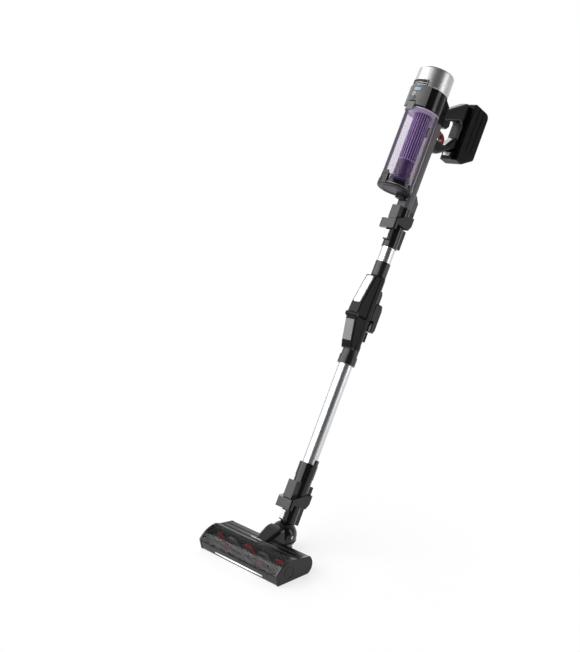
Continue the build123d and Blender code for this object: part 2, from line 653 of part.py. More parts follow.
# Neck that turns on the spigot, with a rib behind and a boss for its button
NECK_LOW = BALL_TOP + GAP
NECK_BUTTON = NECK_TOP - 25.5  # middle of the button, along the wand
BUTTON_SEAT = BUTTON_FRONT - 4.5  # inner face of a button at rest

with BuildPart() as neck_tube:
    wand_bar(NECK_R, NECK_LOW, NECK_TOP)
    wand_block((-RIB_HALF, RIB_HALF), (-RIB_BACK, -NECK_R + 3), (NECK_LOW, NECK_TOP))
    boss_up = (NECK_BUTTON - BUTTON_LENGTH / 2 - 2, NECK_TOP - 9)
    wand_block((-BOSS_HALF, BOSS_HALF), (5, BOSS_FRONT), boss_up)
    wand_bar(PLUG_R, NECK_TOP, NECK_TOP + PLUG_REACH)
    wand_bar(SPIGOT_R + FIT, NECK_LOW, BALL_TOP + SPIGOT_LENGTH + GAP, mode=Mode.SUBTRACT)
    wand_bar(PLUG_R - 2.5, NECK_LOW, NECK_TOP + PLUG_REACH, mode=Mode.SUBTRACT)
    pocket = BUTTON_HALF + GAP
    pocket_up = (NECK_BUTTON - BUTTON_LENGTH / 2 - GAP, NECK_BUTTON + BUTTON_LENGTH / 2 + GAP)
    pocket_front = (BUTTON_SEAT - BUTTON_TRAVEL - GAP, BOSS_FRONT + 1)
    wand_block((-pocket, pocket), pocket_front, pocket_up, mode=Mode.SUBTRACT)
neck_tube.part.label = "neck_tube"
export_step(neck_tube.part, "parts/neck_tube.step")

# Lower socket of the wand: flange, front block, sleeve and collar
SOCKET_BORE = PLUG_R + SEAT
TUBE_FOOT = NECK_TOP + PLUG_REACH + 4  # where the lower tube ends inside the socket

with BuildPart() as lower_socket:
    extrude(flange_face(NECK_TOP), amount=FLANGE_HALF, both=True)
    fillet(flange_corners(lower_socket), radius=FLANGE_CORNER)
    wand_bar(NECK_R + 3, NECK_TOP, COLLAR_LOW)
    wand_bar(NECK_R + 4, COLLAR_LOW, TUBE_LOW)
    wand_block((-12.5, 12.5), (0, SOCKET_BLOCK), (NECK_TOP, NECK_TOP + FLANGE + 24))
    wand_block((-HEEL_HALF, HEEL_HALF), (-HEEL_BACK, 0), (NECK_TOP, NECK_TOP + HEEL_HEIGHT))
    with BuildSketch(WAND.offset(TUBE_LOW)):
        Circle(NECK_R + 3)
        with Locations((0, -NECK_R)):
            Rectangle(3 * NECK_R, 2 * NECK_R, mode=Mode.SUBTRACT)
    extrude(amount=12)
    wand_bar(SOCKET_BORE, NECK_TOP, TUBE_FOOT - 2, mode=Mode.SUBTRACT)
    wand_bar(TUBE_R - TUBE_WALL, NECK_TOP, TUBE_LOW, mode=Mode.SUBTRACT)
    wand_bar(TUBE_R + SEAT / 2, TUBE_FOOT, TUBE_LOW + 12, mode=Mode.SUBTRACT)
lower_socket.part.label = "lower_socket"
export_step(lower_socket.part, "parts/lower_socket.step")

# Lower tube
TUBE_HEAD = FLEX_BODY + 2  # where the lower tube ends inside the bending joint

with BuildPart() as lower_tube:
    wand_bar(TUBE_R, TUBE_FOOT + SEAT, TUBE_HEAD)
    wand_bar(TUBE_R - TUBE_WALL, TUBE_FOOT + SEAT, TUBE_HEAD, mode=Mode.SUBTRACT)
lower_tube.part.label = "lower_tube"
export_step(lower_tube.part, "parts/lower_tube.step")

# Bending joint: lower housing, with the middle knuckle of the knee hinge
SEAM = 0.3  # half the seam between the two housings
BULGE_LOW = KNEE - 21  # foot of the rear cover
FLEX_LIP = 25.0  # front of the lower housing at its collar
COVER_FRONT = KNEE_FRONT + 3  # front of both housings at the knee
HOSE_BORE = HOSE_R + 1.5
KNUCKLE = (-KNUCKLE_HALF, KNUCKLE_HALF)


def ahead(edge):
    """How far an edge's middle lies ahead of the wand's axis."""
    return -(edge.center() - PIVOT).dot(BACK)


def corner_edges(part):
    """Long front corners of a housing, on both of its sides."""
    return part.edges().filter_by(lambda edge: ahead(edge) > FLEX_R and abs(edge.center().X) > KNEE_HALF - 1)


with BuildPart() as flex_lower_housing:
    lower_side = side_face(
        (0, FLEX_BODY - 14),
        (FLEX_R, FLEX_BODY - 14),
        (FLEX_LIP, FLEX_BODY),
        (COVER_FRONT, KNEE - SEAM),
        (0, KNEE - SEAM),
    )
    extrude(lower_side, amount=KNEE_HALF, both=True)
    fillet(corner_edges(flex_lower_housing), radius=4.0)
    wand_bar(FLEX_R + 1, FLEX_LOW, FLEX_LOW + FLEX_RING)
    wand_bar(FLEX_R - 1, FLEX_LOW + FLEX_RING, FLEX_BODY)
    wand_bar(FLEX_R - 2, FLEX_BODY, KNEE - SEAM)
    wand_block((-FIN_HALF, FIN_HALF), (2 - FIN_BACK, 0), (BULGE_LOW - 25, BULGE_LOW - 2))
    cross_bar(KNEE_R + GAP, (-KNEE_HALF - 1, KNEE_HALF + 1), KNEE_FRONT, KNEE, mode=Mode.SUBTRACT)
    knuckle_web = side_face(
        (KNEE_FRONT - KNEE_R - 2, KNEE - SEAM),
        (KNEE_FRONT - KNEE_R - 2, KNEE - 2 * KNEE_R),
        (KNEE_FRONT, KNEE - 2 * KNEE_R),
        (KNEE_FRONT + 2, KNEE - SEAM),
    )
    extrude(knuckle_web, amount=KNUCKLE_HALF, both=True)
    cross_bar(KNEE_R, KNUCKLE, KNEE_FRONT, KNEE)
    cross_bar(KNEE_PIN_R + FIT, KNUCKLE, KNEE_FRONT, KNEE, mode=Mode.SUBTRACT)
    wand_bar(TUBE_R + SEAT / 2, FLEX_LOW, TUBE_HEAD + SEAT, mode=Mode.SUBTRACT)
    wand_bar(HOSE_BORE, FLEX_LOW, KNEE, mode=Mode.SUBTRACT)
flex_lower_housing.part.label = "flex_lower_housing"
export_step(flex_lower_housing.part, "parts/flex_lower_housing.step")

# Plain cover plate on the front of the lower housing
COVER_RISE = (COVER_FRONT - FLEX_LIP) / (KNEE - SEAM - FLEX_BODY)  # slope of the front face
COVER_PLATE = 1.4

with BuildPart() as flex_lower_cover:
    cover_low = FLEX_BODY + 3
    cover_high = KNEE - 2 * KNEE_R
    low_front = FLEX_LIP + COVER_RISE * 3 + SEAT
    high_front = FLEX_LIP + COVER_RISE * (cover_high - FLEX_BODY) + SEAT
    cover_side = side_face(
        (low_front, cover_low),
        (low_front + COVER_PLATE, cover_low),
        (high_front + COVER_PLATE, cover_high),
        (high_front, cover_high),
    )
    extrude(cover_side, amount=KNEE_HALF - 3.4, both=True)
flex_lower_cover.part.label = "flex_lower_cover"
export_step(flex_lower_cover.part, "parts/flex_lower_cover.step")

# Upper housing, with the outer knuckles and a recess for the long button
SLOPE_LOW = KNEE + 26  # foot of the sloping front face
SLOPE_LOW_FRONT = COVER_FRONT - 2
SLOPE_HIGH_FRONT = NECK_R + 6
slope_foot = PIVOT - BACK * SLOPE_LOW_FRONT + UP * SLOPE_LOW
slope_head = PIVOT - BACK * SLOPE_HIGH_FRONT + UP * FLEX_HIGH
slope_run = (slope_head - slope_foot).normalized()
SLOPE = Plane(origin=(slope_foot + slope_head) / 2, x_dir=(1, 0, 0), z_dir=Vector(1, 0, 0).cross(slope_run))
BUTTON_PROUD = 2.2  # long button stands this far off the slope
BUTTON_DEEP = 4.0
TUBE_START = FLEX_HIGH - 4  # foot of the upper tube

with BuildPart() as flex_upper_housing:
    upper_side = side_face(
        (0, KNEE + SEAM),
        (COVER_FRONT, KNEE + SEAM),
        (SLOPE_LOW_FRONT, SLOPE_LOW),
        (SLOPE_HIGH_FRONT, FLEX_HIGH),
        (0, FLEX_HIGH),
    )
    extrude(upper_side, amount=KNEE_HALF, both=True)
    fillet(corner_edges(flex_upper_housing), radius=4.0)
    wand_bar(FLEX_R - 1, KNEE + SEAM, FLEX_HIGH)
    wand_bar(NECK_R + 0.5, FLEX_HIGH, FLEX_TOP)
    for side in (-1, 1):
        outer = sorted((side * (KNUCKLE_HALF + GAP), side * KNEE_HALF))
        cross_bar(KNEE_R, outer, KNEE_FRONT, KNEE)
    inner = (-KNUCKLE_HALF - GAP, KNUCKLE_HALF + GAP)
    cross_bar(KNEE_R + GAP, inner, KNEE_FRONT, KNEE, mode=Mode.SUBTRACT)
    cross_bar(KNEE_PIN_R + SEAT / 4, (-KNEE_HALF, KNEE_HALF), KNEE_FRONT, KNEE, mode=Mode.SUBTRACT)
    with BuildSketch(SLOPE.offset(-BUTTON_DEEP - BUTTON_TRAVEL)):
        RectangleRounded(2 * (FLEX_BUTTON_HALF + GAP), FLEX_BUTTON_LENGTH + 2 * GAP, 5)
    extrude(amount=BUTTON_DEEP + BUTTON_TRAVEL + 8, mode=Mode.SUBTRACT)
    wand_bar(HOSE_BORE, KNEE, FLEX_TOP, mode=Mode.SUBTRACT)
    wand_bar(TUBE_R + SEAT / 2, TUBE_START, FLEX_TOP, mode=Mode.SUBTRACT)
flex_upper_housing.part.label = "flex_upper_housing"
export_step(flex_upper_housing.part, "parts/flex_upper_housing.step")

with BuildPart() as flex_hinge_pin:
    cross_bar(KNEE_PIN_R, (-KNEE_HALF, KNEE_HALF), KNEE_FRONT, KNEE)
flex_hinge_pin.part.label = "flex_hinge_pin"
export_step(flex_hinge_pin.part, "parts/flex_hinge_pin.step")

# Long release button that lets the wand bend
with BuildPart() as flex_release_button:
    with BuildSketch(SLOPE.offset(-BUTTON_DEEP)):
        RectangleRounded(2 * FLEX_BUTTON_HALF, FLEX_BUTTON_LENGTH, 5)
    extrude(amount=BUTTON_DEEP + BUTTON_PROUD)
    top = flex_release_button.faces().sort_by(Axis(SLOPE.origin, SLOPE.z_dir))[-1]
    fillet(top.edges(), radius=1.6)
flex_release_button.part.label = "flex_release_button"
export_step(flex_release_button.part, "parts/flex_release_button.step")

# Cover over the hose at the back of the knee, fixed to the upper housing
BULGE_HIGH = KNEE + 46
BULGE_WALL = 2.5

with BuildPart() as flex_rear_cover:
    cover_front = -(FLEX_R + GAP)
    bulge = side_face(
        (cover_front, BULGE_LOW),
        (cover_front, BULGE_HIGH),
        (-BULGE_BACK + 4, BULGE_HIGH),
        (-BULGE_BACK, BULGE_HIGH - 12),
        (-BULGE_BACK, BULGE_LOW + 8),
        (-BULGE_BACK + 4, BULGE_LOW),
    )
    extrude(bulge, amount=BULGE_HALF, both=True)
    rear_edges = flex_rear_cover.edges().filter_by(lambda edge: ahead(edge) < cover_front - 3)
    fillet(rear_edges.filter_by(lambda edge: abs(edge.center().X) > BULGE_HALF - 1), radius=4.0)
    inside_x = (BULGE_WALL - BULGE_HALF, BULGE_HALF - BULGE_WALL)
    inside = (-BULGE_BACK + BULGE_WALL, cover_front)
    wand_block(inside_x, inside, (BULGE_LOW + BULGE_WALL, KNEE + SEAM), mode=Mode.SUBTRACT)
    wand_block((-BULGE_HALF, BULGE_HALF), (cover_front - 1, -10), (KNEE + 4, BULGE_HIGH - 4))
    fin = side_face(
        (1 - FLEX_R, BULGE_HIGH - 6),
        (-FIN_BACK, BULGE_HIGH - 6),
        (-FIN_BACK, KNEE + FIN_HIGH - 8),
        (4 - FIN_BACK, KNEE + FIN_HIGH),
        (5 - FLEX_R, KNEE + FIN_HIGH),
    )
    extrude(fin, amount=FIN_HALF, both=True)
    wand_bar(FLEX_R - 1 + SEAT, KNEE, FLEX_HIGH, mode=Mode.SUBTRACT)
flex_rear_cover.part.label = "flex_rear_cover"
export_step(flex_rear_cover.part, "parts/flex_rear_cover.step")

# Hose that carries the air through the joint, with a cuff at each end
HOSE_LOW = TUBE_HEAD + 2 * SEAT
HOSE_HIGH = TUBE_START - SEAT
CUFF = 10.0

with BuildPart() as flex_hose:
    wand_bar(HOSE_R, HOSE_LOW, HOSE_HIGH)
    for cuff in (HOSE_LOW, HOSE_HIGH - CUFF):
        wand_bar(HOSE_BORE - SEAT, cuff, cuff + CUFF)
    wand_bar(HOSE_R - HOSE_WALL, HOSE_LOW, HOSE_HIGH, mode=Mode.SUBTRACT)
flex_hose.part.label = "flex_hose"
export_step(flex_hose.part, "parts/flex_hose.step")

# Upper tube and the plug on its end
TUBE_END = PLUG_TOP - 6

with BuildPart() as upper_tube:
    wand_bar(TUBE_R, TUBE_START + SEAT, TUBE_END)
    wand_bar(TUBE_R - TUBE_WALL, TUBE_START + SEAT, TUBE_END, mode=Mode.SUBTRACT)
upper_tube.part.label = "upper_tube"
export_step(upper_tube.part, "parts/upper_tube.step")

PLUG_BUTTON = PLUG_TOP - 25.5

with BuildPart() as wand_plug:
    wand_bar(NECK_R + 0.6, PLUG_LOW, PLUG_TOP)
    boss_up = (PLUG_BUTTON - BUTTON_LENGTH / 2 - 2, PLUG_TOP - 9)
    wand_block((-BOSS_HALF, BOSS_HALF), (5, BOSS_FRONT), boss_up)
    wand_block((-RIB_HALF, RIB_HALF), (-RIB_BACK, 3 - NECK_R), (PLUG_LOW + 6, PLUG_TOP))
    wand_bar(PLUG_R, PLUG_TOP, PLUG_TOP + PLUG_REACH - 6)
    wand_bar(TUBE_R + SEAT / 2, PLUG_LOW, TUBE_END + SEAT, mode=Mode.SUBTRACT)
    wand_bar(PLUG_R - 2.5, PLUG_LOW, PLUG_TOP + PLUG_REACH, mode=Mode.SUBTRACT)
    pocket_up = (PLUG_BUTTON - BUTTON_LENGTH / 2 - GAP, PLUG_BUTTON + BUTTON_LENGTH / 2 + GAP)
    wand_block((-pocket, pocket), pocket_front, pocket_up, mode=Mode.SUBTRACT)
wand_plug.part.label = "wand_plug"
export_step(wand_plug.part, "parts/wand_plug.step")

# Release buttons of the neck and of the wand's plug
for name, middle in (("head_release_button", NECK_BUTTON), ("wand_release_button", PLUG_BUTTON)):
    with BuildPart() as button:
        span = (middle - BUTTON_LENGTH / 2, middle + BUTTON_LENGTH / 2)
        wand_block((-BUTTON_HALF, BUTTON_HALF), (BUTTON_SEAT, BUTTON_FRONT), span)
        touch = button.faces().sort_by(Axis(PIVOT, -BACK))[-1]
        fillet(touch.edges(), radius=1.5)
    button.part.label = name
    export_step(button.part, f"parts/{name}.step")

# Nozzle socket of the handheld unit
with BuildPart() as nozzle_socket:
    extrude(flange_face(PLUG_TOP), amount=FLANGE_HALF, both=True)
    fillet(flange_corners(nozzle_socket), radius=FLANGE_CORNER)
    neck_up = (PLUG_TOP + FLANGE / 2, NOZZLE_TOP)
    wand_bar(SPINE_R + 1, *neck_up)
    wand_block((-12, 12), (0, NOZZLE_BLOCK), neck_up)
    wand_block((-FOOT_HALF, FOOT_HALF), (-FOOT_BACK, 0), neck_up)
    wand_bar(SOCKET_BORE, PLUG_TOP, PLUG_TOP + PLUG_REACH - 5, mode=Mode.SUBTRACT)
    wand_bar(SPINE_BORE_R, PLUG_TOP, NOZZLE_TOP, front=-SPINE_BORE_BACK, mode=Mode.SUBTRACT)
nozzle_socket.part.label = "nozzle_socket"
export_step(nozzle_socket.part, "parts/nozzle_socket.step")

# Spine: the air duct behind the bin, with ears for the red lever
INLET_HALF = 8.0
INLET = (BIN_TOP - 40, BIN_TOP - 16)  # window from the duct into the bin, along the wand
LEVER_BACK = -21.0
LEVER_UP = BIN_TOP - 11.0
LEVER_HALF = 6.0
LEVER_PIN_R = 2.0
EAR_R = 3.2
LID_HINGE_FRONT = BIN_FRONT - BIN_R + 0.7
LID_HINGE_UP = LID_LOW - 3

with BuildPart() as spine_duct:
    wand_bar(SPINE_R, NOZZLE_TOP, BIN_TOP)
    foot = side_face(
        (0, NOZZLE_TOP),
        (0, NOZZLE_TOP + FOOT_HEIGHT),
        (3 - SPINE_R, NOZZLE_TOP + FOOT_HEIGHT),
        (-FOOT_BACK, NOZZLE_TOP + FOOT_HEIGHT - 14),
        (-FOOT_BACK, NOZZLE_TOP),
    )
    extrude(foot, amount=FOOT_HALF, both=True)
    for side in (-1, 1):
        ear = sorted((side * (LEVER_HALF + GAP), side * (LEVER_HALF + 3)))
        wand_block(ear, (LEVER_BACK, -8), (LEVER_UP - EAR_R, LEVER_UP + EAR_R))
        cross_bar(EAR_R, ear, LEVER_BACK, LEVER_UP)
        cross_bar(LEVER_PIN_R + FIT, ear, LEVER_BACK, LEVER_UP, mode=Mode.SUBTRACT)
    wand_bar(COLLAR_R + GAP, NOZZLE_TOP, BIN_TOP, front=BIN_FRONT, mode=Mode.SUBTRACT)
    hinge_room = (-LID_LUG_OUT - GAP, LID_LUG_OUT + GAP)
    cross_bar(LID_HINGE_R + 2 * GAP, hinge_room, LID_HINGE_FRONT, LID_HINGE_UP, mode=Mode.SUBTRACT)
    lug_room = (LID_HINGE_FRONT - LID_HINGE_R - GAP, SPINE_R + 1)
    lug_up = (LID_HINGE_UP, BIN_LOW + COLLAR_HEIGHT + GAP)
    wand_block(hinge_room, lug_room, lug_up, mode=Mode.SUBTRACT)
    wand_bar(SPINE_BORE_R, NOZZLE_TOP, BIN_TOP - 10, front=-SPINE_BORE_BACK, mode=Mode.SUBTRACT)
    wand_block((-INLET_HALF, INLET_HALF), (-2, SPINE_R), INLET, mode=Mode.SUBTRACT)
spine_duct.part.label = "spine_duct"
export_step(spine_duct.part, "parts/spine_duct.step")

# Clear dust bin
with BuildPart() as dust_bin:
    wand_bar(BIN_R, BIN_LOW, BIN_TOP - SEAT, front=BIN_FRONT)
    wand_bar(BIN_R - BIN_WALL, BIN_LOW, BIN_TOP, front=BIN_FRONT, mode=Mode.SUBTRACT)
    wand_block((-INLET_HALF, INLET_HALF), (0, BIN_FRONT - BIN_R + 6), INLET, mode=Mode.SUBTRACT)
dust_bin.part.label = "dust_bin"
export_step(dust_bin.part, "parts/dust_bin.step")

# Collar round the foot of the bin, with the lid's hinge lugs and the latch's ears
LATCH_FRONT = BIN_FRONT + COLLAR_R + 2.8
LATCH_UP = BIN_LOW + 16
LATCH_HALF = 7.0
LATCH_PIN_R = 1.5

with BuildPart() as bin_collar:
    wand_bar(COLLAR_R, BIN_LOW, BIN_LOW + COLLAR_HEIGHT, front=BIN_FRONT)
    for side in (-1, 1):
        lug = sorted((side * (LID_LUG_IN + GAP), side * LID_LUG_OUT))
        lug_front = (LID_HINGE_FRONT - LID_HINGE_R, LID_HINGE_FRONT + LID_HINGE_R)
        wand_block(lug, lug_front, (LID_HINGE_UP, BIN_LOW + COLLAR_HEIGHT))
        cross_bar(LID_HINGE_R, lug, LID_HINGE_FRONT, LID_HINGE_UP)
        ear = sorted((side * (LATCH_HALF + GAP), side * (LATCH_HALF + 2.5)))
        ear_up = (BIN_LOW, LATCH_UP + 3)
        wand_block(ear, (BIN_FRONT + BIN_R - 2, LATCH_FRONT + 2.4), ear_up)
        cross_bar(LATCH_PIN_R + FIT, ear, LATCH_FRONT, LATCH_UP, mode=Mode.SUBTRACT)
    wand_bar(BIN_R + SEAT / 2, BIN_LOW - 1, LATCH_UP + 4, front=BIN_FRONT, mode=Mode.SUBTRACT)
    both = (-LID_LUG_OUT, LID_LUG_OUT)
    cross_bar(LID_PIN_R + SEAT / 4, both, LID_HINGE_FRONT, LID_HINGE_UP, mode=Mode.SUBTRACT)
bin_collar.part.label = "bin_collar"
export_step(bin_collar.part, "parts/bin_collar.step")

# Lid under the bin, its seal and hinge pin
with BuildPart() as bin_lid:
    wand_bar(BIN_R + 0.4, LID_LOW, LID_TOP, front=BIN_FRONT)
    fillet(bin_lid.faces().sort_by(Axis(PIVOT, UP))[0].edges(), radius=LID - 0.7)
    cross_bar(LID_HINGE_R, (-LID_LUG_IN, LID_LUG_IN), LID_HINGE_FRONT, LID_HINGE_UP)
    web_front = (LID_HINGE_FRONT, LID_HINGE_FRONT + LID_HINGE_R)
    wand_block((-LID_LUG_IN, LID_LUG_IN), web_front, (LID_HINGE_UP, LID_LOW + 1))
    grip_front = (LID_HINGE_FRONT + 9, LID_HINGE_FRONT + 19)
    wand_block((-LID_LUG_IN, LID_LUG_IN), grip_front, (LID_LOW - 8, LID_LOW + 1))
    for side in (-1, 1):
        lug = sorted((side * LID_LUG_IN, side * (LID_LUG_OUT + GAP)))
        notch = (LID_HINGE_FRONT - 2 * LID_HINGE_R, LID_HINGE_FRONT + LID_HINGE_R + 2)
        wand_block(lug, notch, (LID_LOW - 1, LID_TOP), mode=Mode.SUBTRACT)
    hinge_x = (-LID_LUG_IN, LID_LUG_IN)
    cross_bar(LID_PIN_R + FIT, hinge_x, LID_HINGE_FRONT, LID_HINGE_UP, mode=Mode.SUBTRACT)
bin_lid.part.label = "bin_lid"
export_step(bin_lid.part, "parts/bin_lid.step")

with BuildPart() as lid_seal:
    wand_bar(BIN_R - 1, LID_TOP, LID_TOP + LID_SEAL, front=BIN_FRONT)
    wand_bar(BIN_R - BIN_WALL - 3, LID_TOP, LID_TOP + LID_SEAL, front=BIN_FRONT, mode=Mode.SUBTRACT)
    seal_notch = (LID_HINGE_FRONT - LID_HINGE_R, LID_HINGE_FRONT + LID_HINGE_R + GAP)
    for side in (-1, 1):
        lug = sorted((side * LID_LUG_IN, side * (LID_LUG_OUT + GAP)))
        wand_block(lug, seal_notch, (LID_TOP, LID_TOP + LID_SEAL), mode=Mode.SUBTRACT)
lid_seal.part.label = "lid_seal"
export_step(lid_seal.part, "parts/lid_seal.step")

with BuildPart() as lid_hinge_pin:
    cross_bar(LID_PIN_R, (-LID_LUG_OUT, LID_LUG_OUT), LID_HINGE_FRONT, LID_HINGE_UP)
lid_hinge_pin.part.label = "lid_hinge_pin"
export_step(lid_hinge_pin.part, "parts/lid_hinge_pin.step")

# Latch at the front of the lid, a rocker on two stub pins
with BuildPart() as bin_latch:
    latch_in = BIN_FRONT + COLLAR_R + GAP
    latch_side = side_face(
        (latch_in, LID_LOW + 1),
        (latch_in + 2.2, LID_LOW + 1),
        (latch_in + 4.4, LATCH_UP - 5),
        (latch_in + 4.4, LATCH_UP + 9),
        (latch_in + 2.4, LATCH_UP + 9),
        (latch_in + 0.8, LATCH_UP - 6),
    )
    extrude(latch_side, amount=LATCH_HALF, both=True)
    cross_bar(2.6, (-LATCH_HALF, LATCH_HALF), LATCH_FRONT, LATCH_UP)
    cross_bar(LATCH_PIN_R, (-LATCH_HALF - 2.4, LATCH_HALF + 2.4), LATCH_FRONT, LATCH_UP)
bin_latch.part.label = "bin_latch"
export_step(bin_latch.part, "parts/bin_latch.step")

# Cyclone in the bin: a slatted shroud over a plain cone of dust
CYCLONE_FRONT = BIN_FRONT - CORE_BACK
SLAT_LOW = BIN_TOP - SHROUD
SKIRT_LOW = SLAT_LOW - CONE - SKIRT

with BuildPart() as cyclone_core:
    flange_top = BIN_TOP - SEAT
    wand_bar(BIN_R - BIN_WALL - GAP, flange_top - 3.5, flange_top, front=BIN_FRONT)
    wand_bar(CYCLONE_R - 2.5, SLAT_LOW, flange_top - 3, front=CYCLONE_FRONT)
    wand_bar(CYCLONE_R - 0.5, SLAT_LOW - CONE, SLAT_LOW + 1, front=CYCLONE_FRONT)
    wand_bar(CYCLONE_R + 3, SKIRT_LOW, SLAT_LOW - CONE, front=CYCLONE_FRONT)
    slat_place = WAND.offset((SLAT_LOW + BIN_TOP - 4) / 2).location * Location((0, -CYCLONE_FRONT, 0))
    with Locations(slat_place):
        with PolarLocations(CYCLONE_R - 2, SLATS):
            Box(4, 1.6, BIN_TOP - 4 - SLAT_LOW)
    wand_bar(CYCLONE_R - 5, SKIRT_LOW, flange_top, front=CYCLONE_FRONT, mode=Mode.SUBTRACT)
cyclone_core.part.label = "cyclone_core"
export_step(cyclone_core.part, "parts/cyclone_core.step")

# Motor housing: the black band above the bin, drawn out round the spine
MOTOR_FLOOR = BIN_TOP + BAND_WALL
CAVITY_R = BAND_R - BAND_WALL
KEY_R = 5.0
KEY_UP = BIN_TOP + 17
KEY_TRAVEL = 1.2
CATCH_HALF = 9.0
CATCH_TOP = BIN_TOP + 7.5
CATCH_TRAVEL = 3.0
PANEL_OUT = BIN_FRONT + BAND_R + PANEL  # front of the display panel
LOUVRES = 6
LOUVRE = 1.6
LOUVRE_STEP = 5.0
LOUVRE_DEPTH = 1.5

with BuildPart() as motor_housing:
    with BuildSketch(WAND.offset(BIN_TOP)):
        with Locations((0, -BIN_FRONT)):
            Circle(BAND_R)
        Circle(BACK_R)
        make_hull()
    extrude(amount=BAND_HEIGHT)
    wand_bar(CAVITY_R, MOTOR_FLOOR, BAND_TOP, front=BIN_FRONT, mode=Mode.SUBTRACT)
    wand_bar(CYCLONE_R - 5, BIN_TOP, MOTOR_FLOOR, front=CYCLONE_FRONT, mode=Mode.SUBTRACT)
    wand_bar(SPINE_BORE_R, MOTOR_FLOOR, BAND_TOP - 3, front=-SPINE_BORE_BACK, mode=Mode.SUBTRACT)
    with BuildSketch(WAND.offset(BAND_TOP)):
        with Locations((0, -BIN_FRONT)):
            Circle(CAP_R - CAP_WALL - GAP)
            Circle(CAVITY_R, mode=Mode.SUBTRACT)
    extrude(amount=4)
    catch_room = (-CATCH_HALF - GAP, CATCH_HALF + GAP)
    catch_back = BIN_FRONT + BAND_R - 2.2
    catch_up = (BIN_TOP, CATCH_TOP + CATCH_TRAVEL + GAP)
    wand_block(catch_room, (catch_back, PANEL_OUT), catch_up, mode=Mode.SUBTRACT)
    key_plane = Plane(origin=PIVOT - BACK * (PANEL_OUT - PANEL - 2.4) + UP * KEY_UP, z_dir=-BACK)
    with Locations(key_plane):
        Cylinder(KEY_R + GAP, 10, align=BASE, mode=Mode.SUBTRACT)
    for side in (-1, 1):
        skin_x = sorted((side * (BAND_R - LOUVRE_DEPTH), side * (BAND_R + 1)))
        for louvre in range(LOUVRES):
            low = BIN_TOP + 10 + louvre * LOUVRE_STEP
            wand_block(skin_x, (BIN_FRONT - 10, BIN_FRONT + 10), (low, low + LOUVRE), mode=Mode.SUBTRACT)
motor_housing.part.label = "motor_housing"
export_step(motor_housing.part, "parts/motor_housing.step")

# Suction motor on the housing's floor, its fan below and the filter above
SUCTION_LOW = MOTOR_FLOOR + 10
SUCTION_TOP = BAND_TOP + 2
FAN_SHAFT_R = 3.0

with BuildPart() as suction_motor:
    wand_bar(SUCTION_R, SUCTION_LOW, SUCTION_TOP, front=BIN_FRONT)
    for turn in range(4):
        foot = WAND.offset(MOTOR_FLOOR).location * Location((0, -BIN_FRONT, 0), (0, 0, 45 + 90 * turn))
        with Locations(foot * Location((SUCTION_R + 3, 0, 0))):
            Box(10, 5, SUCTION_TOP - MOTOR_FLOOR - 8, align=BASE)
    wand_bar(IMPELLER_R + 1.5, MOTOR_FLOOR, SUCTION_LOW, front=BIN_FRONT, mode=Mode.SUBTRACT)
    wand_bar(FAN_SHAFT_R + FIT, SUCTION_LOW, SUCTION_LOW + 14, front=BIN_FRONT, mode=Mode.SUBTRACT)
suction_motor.part.label = "suction_motor"
export_step(suction_motor.part, "parts/suction_motor.step")

with BuildPart() as impeller:
    wand_bar(IMPELLER_R, SUCTION_LOW - 3, SUCTION_LOW - 1, front=BIN_FRONT)
    wand_bar(6, MOTOR_FLOOR + 1, SUCTION_LOW - 1, front=BIN_FRONT)
    wand_bar(FAN_SHAFT_R, SUCTION_LOW - 2, SUCTION_LOW + 12, front=BIN_FRONT)
    blade_place = WAND.offset(MOTOR_FLOOR + 1.5).location * Location((0, -BIN_FRONT, 0))
    with Locations(blade_place):
        with PolarLocations(14.5, 9, rotate=True):
            Box(18, 1.4, SUCTION_LOW - MOTOR_FLOOR - 4, align=BASE)
impeller.part.label = "impeller"
export_step(impeller.part, "parts/impeller.step")

with BuildPart() as motor_filter:
    wand_bar(FILTER_R, SUCTION_TOP + SEAT, CAP_TOP - CAP_WALL - 2, front=BIN_FRONT)
    wand_bar(FILTER_R - 12, SUCTION_TOP + 12, CAP_TOP, front=BIN_FRONT, mode=Mode.SUBTRACT)
motor_filter.part.label = "motor_filter"
export_step(motor_filter.part, "parts/motor_filter.step")

# Silver cap over the filter, turned to take it off
with BuildPart() as motor_cap:
    wand_bar(CAP_R, BAND_TOP + GAP, CAP_TOP, front=BIN_FRONT)
    fillet(motor_cap.faces().sort_by(Axis(PIVOT, UP))[-1].edges(), radius=5.0)
    wand_bar(CAP_R - CAP_WALL, BAND_TOP, CAP_TOP - CAP_WALL - 1.5, front=BIN_FRONT, mode=Mode.SUBTRACT)
motor_cap.part.label = "motor_cap"
export_step(motor_cap.part, "parts/motor_cap.step")


def ring_sector(inner, outer, angle):
    """Part of a ring round the bin's axis, the same angle to both sides of the front."""
    reach = 2 * outer
    with BuildSketch() as sketch:
        with Locations((0, -BIN_FRONT)):
            Circle(outer)
            Circle(inner, mode=Mode.SUBTRACT)
        with BuildLine():
            Polyline(
                (0, -BIN_FRONT),
                (reach * sin(radians(angle)), -BIN_FRONT - reach * cos(radians(angle))),
                (-reach * sin(radians(angle)), -BIN_FRONT - reach * cos(radians(angle))),
                close=True,
            )
        make_face(mode=Mode.INTERSECT)
    return sketch.sketch


# Display panel on the front of the band, with a tab over the cap's edge
PANEL_LOW = BIN_TOP + 2
TAB_TOP = BAND_TOP + 15

